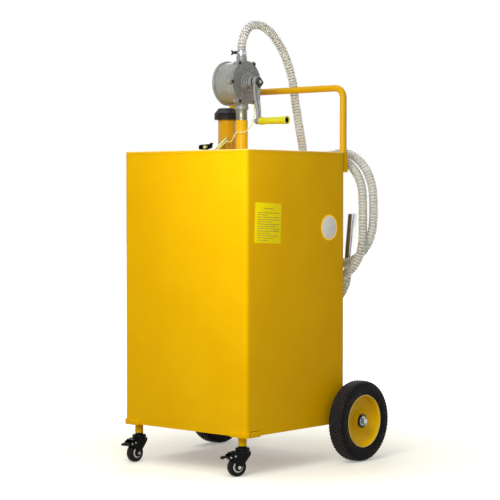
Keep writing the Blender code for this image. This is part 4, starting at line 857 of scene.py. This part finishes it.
# Crank: a cast S-shaped bar with a channel down its outer face, a square nut and the grip
grip_at = (0, pump_y, 0.934)
crank_route = along(mm((55.8, -14.5, 1041), (54.2, -14.5, 1011.04), (56.8, -14.5, 985.36),
                       (62, -14.5, 957.54), (61.3, -14.5, 934)), 0.003)[0]
crank_section = mm(
    (6.4, -2.6), (6.4, 3), (5.6, 4.4), (4, 4.6), (3.1, 3.4), (2.2, 1.8), (-2.2, 1.8),
    (-3.1, 3.4), (-4, 4.6), (-5.6, 4.4), (-6.4, 3), (-6.4, -2.6), (-4.8, -4.6), (4.8, -4.6))
crank_widths = np.interp(np.linspace(0, 1, len(crank_route)), (0, 0.25, 0.5, 0.75, 1),
                         (2.30, 2.05, 1.50, 1.15, 1.0))
crank_bar = bar(crank_route, [[(a * width, b) for a, b in crank_section]
                              for width in crank_widths], (0, 1, 0))
crank_hub = about_pump([(7.4, 49.4), (14.6, 49.4), (15.6, 50.4), (15.7, 60.6), (14.5, 62),
                        (7.4, 62.2)], 64)
crank_foot = about_x(mm((4.4, 54.9), (7.8, 54.9), (8.5, 55.6), (8.5, 66.9), (7.8, 67.6),
                        (4.4, 67.6)), grip_at, 48)
crank_parts = [crank_bar, crank_hub, crank_foot]
new_piece("crank_casting", blended(crank_parts, voxel=0.0008, smooth=2), cast_aluminium, "cast",
          "crank_arm", body="pump_crank", crease=60)
nut_at = (0.0652, -0.0140, 1.0395)
nut = cut_plate([eased(mm((15, 0), (0, 15), (-15, 0), (0, -15)), 0.0014)], 0.0050, 0.0007,
                flat_in_yz, nut_at)
new_piece("crank_nut", nut, black_oxide, "black_steel", "crank_bolt", body="pump_crank")
new_piece("crank_stud", about_pump([(0, 69.6), (3.6, 69.6), (4.8, 68.6), (5, 63), (0, 63)], 32),
          zinc_plate, "zinc", body="pump_crank")
grip_back, grip_length = 68.1, 97
grip_front = grip_back + grip_length
grip_shape = (
    (4.3, 0), (9, 0), (10.3, 0.006), (10.9, 0.019), (11, 0.071), (10.6, 0.107), (9.9, 0.152),
    (9.4, 0.215), (9.2, 0.305), (9.5, 0.377), (9.9, 0.45), (9.7, 0.522), (9.9, 0.612),
    (10.4, 0.693), (10.3, 0.765), (10.5, 0.864), (10.8, 0.936), (11.2, 0.968), (11.2, 0.988),
    (10.4, 0.998), (9.5, 1), (8.5, 0.994), (8.5, 0.815), (4.3, 0.815))
grip = mm(*[(radius, grip_back + share * grip_length) for radius, share in grip_shape])
new_piece("crank_handgrip", about_x(grip, grip_at, 64), lime_vinyl, "lime_plastic",
          "crank_grip", body="crank_grip")
# A black cap in the grip's open end, put there as painted shade for the dark inside of the bore
bore_shade_ring = mm(*[(radius, grip_front - depth) for radius, depth in (
    (4.6, 12), (8.4, 12), (8.4, 3.8), (7.8, 3.2), (5.2, 4), (4.6, 6))])
new_piece("grip_bore_shade_ring", about_x(bore_shade_ring, grip_at, 48), moulded_black, "black_plastic",
          body="crank_grip")


# Hose clamps: a strap with a screw housing and a black wing screw
def clamp_at(name, matrix, replaced):
    housing_out, shank_out, wings_out = 0.0165, 0.0205, 0.0232
    strap = spun(mirrored(mm((11.8, -5.8), (12.8, -5.8), (13.1, -5), (12.9, -3))), 72)
    notch = swept(mm((0, 0, -3.6), (0, 0, -3), (0, 0, 3), (0, 0, 3.6)),
                  [0.0002, 0.0005, 0.0005, 0.0002], 6)
    notches = on_circle(notch, zinc_plate, count=40, radius=0.0128)
    housing = cut_plate([rounded_outline(0.0085, 0.0115, 0.0018, 5, (housing_out, 0))], 0.0086,
                        0.0008)
    shank = spun(mm((0, -0.5), (3, -0.5), (3.4, 0.2), (3.4, 3), (2.4, 3.8), (0, 3.8)), 24,
                 Matrix.Rotation(math.pi / 2, 3, "Y"), (shank_out, 0, 0))
    wing_line = mm((-1, 2.2), (2, 6.4), (5.6, 7), (6.4, 4), (3.4, 0), (6.4, -4), (5.6, -7),
                   (2, -6.4), (-1, -2.2))
    wings = cut_plate([eased(wing_line, 0.0012)], 0.0030, 0.0008, flat_in_xz, (wings_out, 0, 0))
    return [new_piece(name, moved(joined(strap, notches), matrix), zinc_plate, "zinc", replaced),
            new_piece(name + "_screw", moved(joined(housing, shank, wings), matrix),
                      moulded_black, "black_plastic")]


clamp_turn = Matrix.Rotation(math.radians(222), 4, "Z")
pump_clamp_at, spout_clamp_off = (0, pump_y, 1.1239), (0, 0, -0.0066)
clamp_at("pump_hose_clamp", Matrix.Translation(pump_clamp_at) @ clamp_turn, "hose_clamp_pump")
spout_frame = Matrix.Translation(hose_end) @ Matrix.Rotation(spout_tilt, 4, "Y")
spout_clamp_pieces = clamp_at(
    "spout_hose_clamp", spout_frame @ Matrix.Translation(spout_clamp_off) @ clamp_turn,
    "spout_clamp")
spout_pipe = spun(mm(
    (6.6, -18), (8.4, -18), (8.4, 0.3), (11.5, 0.3), (12.5, 1.6), (12.5, 123.6), (12.2, 124.9),
    (11.4, 125), (11, 124.3), (11, 5), (6.6, 3)), 72)
spout = new_piece("spout_pipe", moved(spout_pipe, spout_frame), chrome_tube, "chrome",
                  "spout_tube")

# Barb under the hose's first turns, with a bright collar
barb = spun(mm(
    (6, 1101), (8.6, 1101), (8.6, 1115.1), (13.2, 1115.3), (13.2, 1117.2), (8.4, 1117.4),
    (8.6, 1121), (8, 1121.4), (8.6, 1126), (8, 1126.4), (8.6, 1131), (8, 1131.4), (8.4, 1135),
    (6, 1135.3)), 64, at=riser_at)
new_piece("hose_barb", barb, zinc_plate, "zinc", "outlet_barb")

# Handle: one bent tube
handle_x, handle_y, handle_top, handle_bend, bend_steps = 0.2055, 0.1763, 1.028, 0.028, 12
left_leg = [(-handle_x, z) for z in (0.799, 0.850, 0.900, 0.950)]
right_leg = [(handle_x, z) for x, z in left_leg[::-1]]
corners = rounded_outline(2 * handle_x, 2 * handle_bend, handle_bend, bend_steps,
                          (0, handle_top - handle_bend))
bends = corners[:2 * (bend_steps + 1)][::-1]
handle_line = [(x, handle_y, z) for x, z in left_leg + bends + right_leg]
new_piece("handle_bar", swept(handle_line, 0.0095, 32), handle_shaded_coat, "paint", "handle_tube")

# Big wheels: tyre, pressed rim, sleeve, washer and split pin on one axle
wheel_x, axle_y, axle_z = 0.2615, 0.1765, 0.111
axle_half = mm((0, 285.5), (6.8, 285.5), (7.9, 284.4), (8, 235.6), (9, 235.3), (10, 234.5))
new_piece("axle_bar", about_x(mirrored(axle_half), (0, axle_y, axle_z), 48), zinc_plate, "zinc",
          "wheel_axle")

# Raised diamonds in rows round the tyre, the outer rows lower on the shoulders
tread_sizes = {"Columns": 66, "Rows": 9, "Radius": 0.1087, "Row Pitch": 0.0045,
               "Shoulder Drop": 0.55, "Flat Half": 0.0125}
tread_tree, given = node_tree("tyre_tread", tread_sizes)
worked = {**dict(given.items()), "index": add(tread_tree, "GeometryNodeInputIndex")}
for name, operation, *terms in (
        ("count", "MULTIPLY", "Columns", "Rows"), ("late", "ADD", "index", 0.5),
        ("rows before", "DIVIDE", "late", "Columns"), ("row", "FLOOR", "rows before"),
        ("odd", "MODULO", "row", 2.0), ("shift", "MULTIPLY", "odd", 0.5),
        ("shifted", "ADD", "index", "shift"), ("step", "DIVIDE", "shifted", "Columns"),
        ("angle", "MULTIPLY", "step", 2 * math.pi), ("gaps", "SUBTRACT", "Rows", 1.0),
        ("middle", "MULTIPLY", "gaps", 0.5), ("rows off", "SUBTRACT", "row", "middle"),
        ("off", "MULTIPLY", "rows off", "Row Pitch"), ("far", "ABSOLUTE", "off"),
        ("past", "SUBTRACT", "far", "Flat Half"), ("on shoulder", "MAXIMUM", "past", 0.0),
        ("drop", "MULTIPLY", "on shoulder", "Shoulder Drop"),
        ("reach", "SUBTRACT", "Radius", "drop"), ("cosine", "COSINE", "angle"),
        ("y", "MULTIPLY", "cosine", "reach"), ("sine", "SINE", "angle"),
        ("z", "MULTIPLY", "sine", "reach"), ("lean", "SUBTRACT", "angle", math.pi / 2)):
    worked[name] = add(tread_tree, MATH, [worked.get(term, term) for term in terms],
                       operation=operation)
spot = add(tread_tree, "ShaderNodeCombineXYZ", [worked["off"], worked["y"], worked["z"]])
end_with_copies(tread_tree, given, worked["count"], spot, {"X": worked["lean"]})


def diamond_block():
    low = mm((3.7, 0, -0.8), (0, 4.7, -0.8), (-3.7, 0, -0.8), (0, -4.7, -0.8))
    high = mm((2.4, 0, 2.3), (0, 3.2, 2.3), (-2.4, 0, 2.3), (0, -3.2, 2.3))
    return to_mesh(low + high, [(4, 5, 6, 7), (3, 2, 1, 0), (0, 1, 5, 4), (1, 2, 6, 5),
                                (2, 3, 7, 6), (3, 0, 4, 7)])


tyre_half = mm(
    (71.7, 19.3), (73.2, 20.6), (76, 21.7), (79, 21.8), (80, 22.6), (83.5, 23.3), (88, 23.5),
    (94, 23.5), (98.5, 23.2), (102, 22.4), (105, 21), (107.2, 19), (108.1, 16.5), (108.7, 13),
    (108.8, 6))
tyre_bead = mm((71.7, -17.2), (70.3, -17.2), (70.3, 17.2), (71.7, 17.2))
tyre_profile = mirrored(tyre_half) + tyre_bead
rim_profile = mm(
    (71.5, 19.5), (70.8, 17.2), (70, 17), (70, -17), (70.8, -17.2), (71.5, -19.5),
    (70.4, -19.8), (68, -17.2), (67.5, -7), (64, -7.4), (50, -14), (46, -16.5), (30, -16.5),
    (18.5, -16.5), (16.5, -18), (16.5, -23.5), (13.5, -23.5), (13.5, 10), (16.5, 10),
    (16.8, -6), (20, -10), (29, -13.8), (45.5, -14), (49, -11.8), (62, -5), (66, -4.4),
    (67.6, -2.8), (68, 15), (68.6, 17.2), (70.4, 19.8))
sleeve_profile = mm(
    (8.3, 13.3), (11.8, 13.3), (12.4, 12.6), (14, 12.6), (14.7, 13.3), (18.7, 13.3),
    (19.5, 12.5), (19.5, 10.3), (13.2, 10.3), (13.2, -23.5), (8.3, -23.5))
washer_profile = mm((8.2, 13.6), (12.8, 13.6), (13.4, 14.1), (13.4, 14.8), (12.8, 15.3),
                    (8.2, 15.3))
pin_line = along(mm(
    (0, 6, -12.8), (0, 1.2, -10.4), (0, 0.9, -4), (0, 0.9, 8), (0, 3, 11.5), (0, 2.4, 14.8),
    (0, -0.6, 16), (0, -3, 14), (0, -2.6, 11), (0, -1.1, 8.5), (0, -1.3, -5),
    (0, -1.6, -13.5)), 0.0012)[0]
bead_profiles = [[(r + u, x + v) for u, v in circle(12, size)]
                 for r, x, size in mm((70.6, 19.6, 1.6), (65.2, -4.4, 1.2))]
valve_in, valve_circle, valve_turn = 0.013, 0.043, math.radians(-25)
valve_y, valve_z = valve_circle * math.cos(valve_turn), valve_circle * math.sin(valve_turn)
pin_out, pin_turn = 0.0185, Matrix.Rotation(math.radians(25), 4, "X")
for side, sign in (("left", -1), ("right", 1)):
    outward = along_x if sign > 0 else Matrix.Rotation(math.pi, 3, "Z") @ along_x
    at = Vector((sign * wheel_x, axle_y, axle_z))
    body = f"wheel_{side}"
    new_piece(f"tyre_{side}", spun(tyre_profile, 160, outward, at), tyre_rubber, "tyre",
              f"wheel_tyre_{side}", body=body, crease=40)
    diamonds = baked(diamond_block(), tread_tree, tread_rubber, tread_sizes)
    new_piece(f"tread_{side}", moved(diamonds, Matrix.Translation(at)), tread_rubber, "tyre",
              body=body, crease=30)
    drill = about_x(mirrored(mm((0, 30), (4.5, 30))),
                    at + Vector((-sign * valve_in, valve_y, valve_z)), 32)
    rim = carved(spun(rim_profile, 160, outward, at, 0.0010), drill)
    new_piece(f"rim_{side}", rim, rim_coat, "paint", f"wheel_rim_{side}", body=body, crease=40)
    # The rim's beads take the pale bright coat: painted highlights along the lip and the bend
    beads = joined(*[spun(bead, 160, outward, at) for bead in bead_profiles])
    new_piece(f"rim_beads_{side}", beads, highlight_coat, "paint", body=body, crease=60)
    new_piece(f"sleeve_{side}", spun(sleeve_profile, 72, outward, at, 0.0004), moulded_black,
              "black_steel", f"wheel_bearing_{side}", body=body)
    pin_at = at + Vector((sign * pin_out, 0, 0))
    pin = moved(swept(pin_line, 0.0012, 10), Matrix.Translation(pin_at) @ pin_turn)
    new_piece(f"washer_{side}", joined(spun(washer_profile, 64, outward, at), pin), zinc_plate,
              "zinc")

# Casters: pressed black fork, two-part wheel, brake pedal with grip ribs
post_x, post_y = 0.190, -0.2255
caster_axle = (0, -0.017, 0.025)
brake_pin = (0, -0.034, 0.053)
cheek_out, rivet_out, bridge_z = 0.0130, 0.0140, 0.0625
fork_line = (mm((18, 65.5), (18, 56))
             + [(caster_axle[1] + y, caster_axle[2] - z) for y, z in circle(24, 0.0095)[:13]]
             + mm((-26.5, 40), (-43, 48), (-43, 58), (-23, 65.5)))
fork_side = eased(fork_line, [0.002, 0.004] + [0] * 13 + [0.004, 0.003, 0.003, 0.004])
pedal_line = eased(mm(
    (1.4, 1.4), (-14, 1.9), (-22.5, 1.2), (-27.8, -3.4), (-26.8, -5), (-23, -1.8), (-14, -1),
    (-5.2, -9.2), (-1.4, -9.2), (1.4, -1.4)), 0.0012)
rivet_profile = mm((0, 1.5), (1.2, 1.4), (2.3, 0.9), (2.8, 0), (0, 0))
wheel_parts = (
    ("band", [(14.6, 9.2), (20.5, 9.4), (22.8, 8.8), (24.3, 7.2), (25, 4.5)], 72, caster_rubber,
     "rubber", ["caster_tread"], 50),
    ("ring", [(9.4, 8.5), (9.6, 10.1), (13.6, 10.2), (14.2, 9.6)], 72, waxy_ring,
     "light_plastic", ["caster_hub"], 35),
    ("core", [(3.3, 10), (5.6, 10), (6.2, 9.2), (9.3, 8.8)], 48, moulded_black, "black_plastic",
     [], 35))
for side, sign, yaw in (("left", -1, 0.0), ("right", 1, math.radians(-21.7))):
    swivel = Matrix.Translation((sign * post_x, post_y, 0)) @ Matrix.Rotation(yaw, 4, "Z")
    fork_body = f"caster_fork_{side}"
    crown = spun(mm(
        (4.3, 60.8), (18, 60.8), (19, 61.8), (19, 65), (18.4, 66), (18.4, 67.2), (19, 68.2),
        (19, 71.2), (18.4, 72.8), (17, 74), (15, 74.5), (4.3, 74.5)), 72)
    cheeks = [cut_plate([fork_side], 0.0022, 0.0006, flat_in_yz, (x, 0, 0))
              for x in (-cheek_out, cheek_out)]
    bridge = cut_plate([rounded_outline(0.0272, 0.052, 0.003, 6, (0, -0.011))], 0.0026, 0.0006,
                       at=(0, 0, bridge_z))
    new_piece(f"fork_{side}", moved(joined(crown, *cheeks, bridge), swivel), black_coat,
              "black_steel", fork_body, body=fork_body, crease=40)
    rivets = [moved(about_x(rivet_profile, (0, 0, 0), 24),
                    Matrix.Translation((x, y, z)) @ Matrix.Rotation(turn, 4, "Z"))
              for x, turn in ((rivet_out, 0.0), (-rivet_out, math.pi))
              for y, z in mm((-39.5, 52), (-26.5, 54.5))]
    new_piece(f"fork_rivets_{side}", moved(joined(*rivets), swivel), zinc_plate, "zinc",
              body=fork_body)
    for name, half, steps, finish, slot, replaced, crease in wheel_parts:
        part = about_x(mirrored(mm(*half)), caster_axle, steps)
        new_piece(f"caster_{name}_{side}", moved(part, swivel), finish, slot,
                  *[f"{node}_{side}" for node in replaced], body=f"caster_wheel_{side}",
                  crease=crease)
    grips = [swept([(x, y, z) for x in (-0.0090, -0.0080, 0.0080, 0.0090)],
                   [0.0004, 0.0009, 0.0009, 0.0004], 10)
             for y, z in mm((-12.5, 1.8), (-15.5, 1.8), (-18.5, 1.6), (-21.5, 1.1))]
    pin = about_x(mirrored(mm((0, 14.1), (2, 14.1), (2.5, 13.7))), (0, 0, 0), 24)
    pedal = joined(cut_plate([pedal_line], 0.0210, 0.0007, flat_in_yz), *grips, pin)
    new_piece(f"brake_pedal_{side}", moved(pedal, swivel @ Matrix.Translation(brake_pin)),
              black_coat, "black_steel", f"caster_brake_{side}", body=f"caster_brake_{side}",
              crease=45)

# Hood of the earth clip's upper jaw: folded sheet over its spring, with a finger tab behind
hood_line = eased(mm((6, 7.5), (2, 11), (3, 18.5), (7, 21.2), (33, 22.2), (40, 22.8), (44, 26.2),
                     (45.2, 25.2), (42.8, 20.5), (42, 12.5), (30, 9.2)), 0.0008)
hood_well = eased(mm((8, 10.5), (8, 16.8), (10, 18.5), (36, 18.5), (37.5, 16.8), (37.5, 13.5),
                     (29, 11)), 0.0010)
hood = carved(cut_plate([hood_line], 0.0120, 0.0005, flat_in_yz),
              cut_plate([hood_well], 0.0090, 0.0, flat_in_yz, (0.0040, 0, 0)))
clip_frame = (Matrix.Translation((-0.1120, -0.0660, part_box("clip_jaw_lower")[0][2]))
              @ Matrix.Rotation(math.radians(-85), 4, "Z"))
new_piece("clip_hood", moved(hood, clip_frame), black_coat, "black_steel", body="clip_jaw")
spring = about_x(mirrored(mm((2.6, -4), (4.4, -4), (4.8, -3.4))), (0.0028, 0.0232, 0.0145), 40)
new_piece("clip_spring", moved(spring, clip_frame), wire_sleeve, "wire", body="clip_jaw")

# Corner brackets: a flange wrapped round the tank's corner, a plate under it and the post
shell_low, shell_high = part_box("tank_shell")


def corner_outline(sign, out, leg, inner, radius=0.0145, steps=8):
    """An L round a front corner, from its outer face in to an inner depth."""
    x, y = sign * (shell_high[0] + out), shell_low[1] - out
    turns = [math.pi / 2 * i / steps for i in range(steps + 1)]
    outside = [(x - sign * radius * (1 - math.cos(a)), y + radius * (1 - math.sin(a)))
               for a in turns]
    near = radius - inner
    inside = [(x - sign * (radius - near * math.cos(a)), y + radius - near * math.sin(a))
              for a in turns] if near > 0 else [(x - sign * inner, y + inner)]
    return [(x, y + leg), *outside, (x - sign * leg, y), (x - sign * leg, y + inner),
            *inside[::-1], (x - sign * inner, y + leg)]


for side, sign in (("left", -1), ("right", 1)):
    flange = cut_plate([corner_outline(sign, out=0.0034, leg=0.059, inner=0.0024)], 0.0135,
                       0.0007, at=(0, 0, shell_low[2] + 0.0052))
    under = cut_plate([corner_outline(sign, out=0.0034, leg=0.055, inner=0.0480)], 0.0022,
                      0.0005, at=(0, 0, shell_low[2] - 0.0014))
    post = spun(mm((8.8, 78.6), (10.4, 78.6), (11, 79.3), (11, 99.5), (12.8, 101.8),
                   (15.2, 102.8), (8.8, 103)), 64, at=(sign * post_x, post_y, 0))
    new_piece(f"gusset_{side}", joined(flange, under, post), powder_coat, "paint",
              f"corner_bracket_{side}")
    # A dark line along the flange's top edge against the wall: painted shade standing in for the
    # shadow in the gap
    seam_start = Vector((sign * (shell_high[0] + 0.0032), shell_low[1], shell_low[2]))
    seam_line = along([seam_start + Vector((-sign * x, y, z)) for x, y, z in mm(
        (0, 11, -1), (0, 11, 10), (1.8, 15, 12.1), (2, 56, 12.1))], 0.0010)[0]
    new_piece(f"gusset_seam_shade_{side}", swept(seam_line, 0.0008, 10), seam_painted_shade, "paint")

# Folded hem round the lid, coloured pale and bright along the edge as a painted highlight
lid_low, lid_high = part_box("tank_top")
hem_in, hem_corner, hem_below, hem_radius, hem_steps = 0.0012, 0.0115, 0.0017, 0.0018, 8
hem_line = rounded_outline(lid_high[0] - lid_low[0] - hem_in, lid_high[1] - lid_low[1] - hem_in,
                           hem_corner, 8, (0, (lid_low[1] + lid_high[1]) / 2))
hem_points = [Vector((x, y, lid_high[2] - hem_below)) for x, y in hem_line + hem_line[:1]]
hem_route = [a.lerp(b, t / hem_steps) for a, b in zip(hem_points, hem_points[1:])
             for t in range(hem_steps)]
new_piece("lid_hem", swept([*hem_route, hem_points[-1]], hem_radius, 12, (0, 0, 1)), highlight_coat,
          "paint")

# Films on the tank's side: a plain ruled label and a plain disc with an amber border
film_x, film_thick, film_edge = shell_high[0] + 0.0002, 0.0004, 0.00005
label_width, label_height, first_rule, rule_pitch, rule_out = 0.105, 0.1055, 0.027, 0.0060, 0.00026
label_turn = Matrix.Rotation(math.radians(-2.6), 3, "X") @ flat_in_yz
label_at = Vector((film_x, -0.1618, 0.6582))
label = cut_plate([rounded_outline(label_width, label_height, 0.0025, 4)], film_thick, film_edge,
                  label_turn, label_at)
new_piece("label_film", label, yellow_film, "paint")
rule_widths = mm((88, 40, 86, 88, 60, 88, 74, 88, 88, 52, 84, 66, 47))[0]
rule_lines = [rounded_outline(0.036, 0.0016, 0.0006, 3, (0, 0.038))]
rule_lines += [rounded_outline(width, 0.0013, 0.0006, 3,
                               ((width - rule_widths[0]) / 2, first_rule - rule_pitch * i))
               for i, width in enumerate(rule_widths)]
rules = [cut_plate([line], 0.0001, 0.0, label_turn, label_at + Vector((rule_out, 0, 0)))
         for line in rule_lines]
new_piece("label_rules", joined(*rules), grey_ink, "paint")
disc_at, disc_radius, white_share = (film_x, 0.0931, 0.6433), 0.0352, 0.88
disc_line = circle(96, disc_radius)
inner_line = [(white_share * u, white_share * v) for u, v in disc_line]
new_piece("disc_film", cut_plate([inner_line], film_thick, film_edge, flat_in_yz, disc_at),
          white_film, "light_plastic")
new_piece("disc_border", cut_plate([disc_line, inner_line], film_thick + 0.0001, film_edge,
                                   flat_in_yz, disc_at), amber_ink, "paint")


# Floor: pale paper that keeps the shadow. Where a ray sees it directly it glows, white far out but
# weaker near the object, a painted shade round it. Its faint warm tint stands in for the tank's
# yellow bounce light in the shadow
def seen_directly(tree):
    """1 for rays from the camera, off gloss or through something clear."""
    ray = add(tree, "ShaderNodeLightPath").outputs
    seen = add(tree, MATH, [ray["Is Camera Ray"], ray["Is Glossy Ray"]], operation="MAXIMUM")
    return add(tree, MATH, [seen, ray["Is Transmission Ray"]], operation="MAXIMUM")


paper = coat("studio_paper", "#f3f1ec", 0.95, Specular_IOR_Level=0.0, Emission_Color=(1, 1, 1, 1))
tree = paper.node_tree
seen = seen_directly(tree)
into(paper, "Base Color", add(tree, "ShaderNodeMix", {
    0: seen, 6: hex_colour("#a8a49a"), 7: hex_colour("#f3f1e1")}, data_type="RGBA"), 2)
away = add(tree, "ShaderNodeVectorMath", [add(tree, "ShaderNodeTexCoord").outputs["Object"]],
           operation="LENGTH").outputs["Value"]
# Painted shade: the glow weakens towards the object, darkening the floor round it
glow_dimmed_near_object = add(tree, RANGE, {"Value": away, "From Min": 0.38, "From Max": 1.6, "To Min": 0.31})
into(paper, "Emission Strength", add(tree, MATH, [seen, glow_dimmed_near_object], operation="MULTIPLY"))
floor_mesh = cut_plate([rounded_outline(30, 30, 0.5)], 0.02, at=(0, 0, -0.0102))
floor_mesh.materials.clear()
floor_mesh.materials.append(paper)
linked("studio_floor", floor_mesh)

world = bpy.data.worlds.new("studio_air")
world.use_nodes = True
bpy.context.scene.world = world
air = world.node_tree
background = air.nodes["Background"].inputs
background["Color"].default_value = (1, 1, 1, 1)
level = add(air, RANGE, {"Value": seen_directly(air), "To Min": 0.30})
air.links.new(level.outputs[0], background["Strength"])

# CAD nodes that keep their shape take their finish here
kept = {
    powder_coat: ("tank_shell", "tank_top", "tank_base", "handle_socket_left",
                  "handle_socket_right", "axle_bracket_left", "axle_bracket_right",
                  "hose_hook"),
    zinc_plate: ("pump_shaft", "pump_rotor", "grip_spindle", "caster_axle_left",
                 "caster_axle_right"),
    black_coat: ("clip_jaw_lower", "clip_jaw_upper", "caster_stem_left", "caster_stem_right"),
    moulded_black: ("foot_strainer", "pump_vane_1", "pump_vane_2"),
    natural_tube: ("suction_tube",),
    nitrile: ("cap_gasket",),
}
for finish, names in kept.items():
    for name in names:
        for slot in nodes[name].material_slots:
            slot.link = "OBJECT"
            slot.material = finish
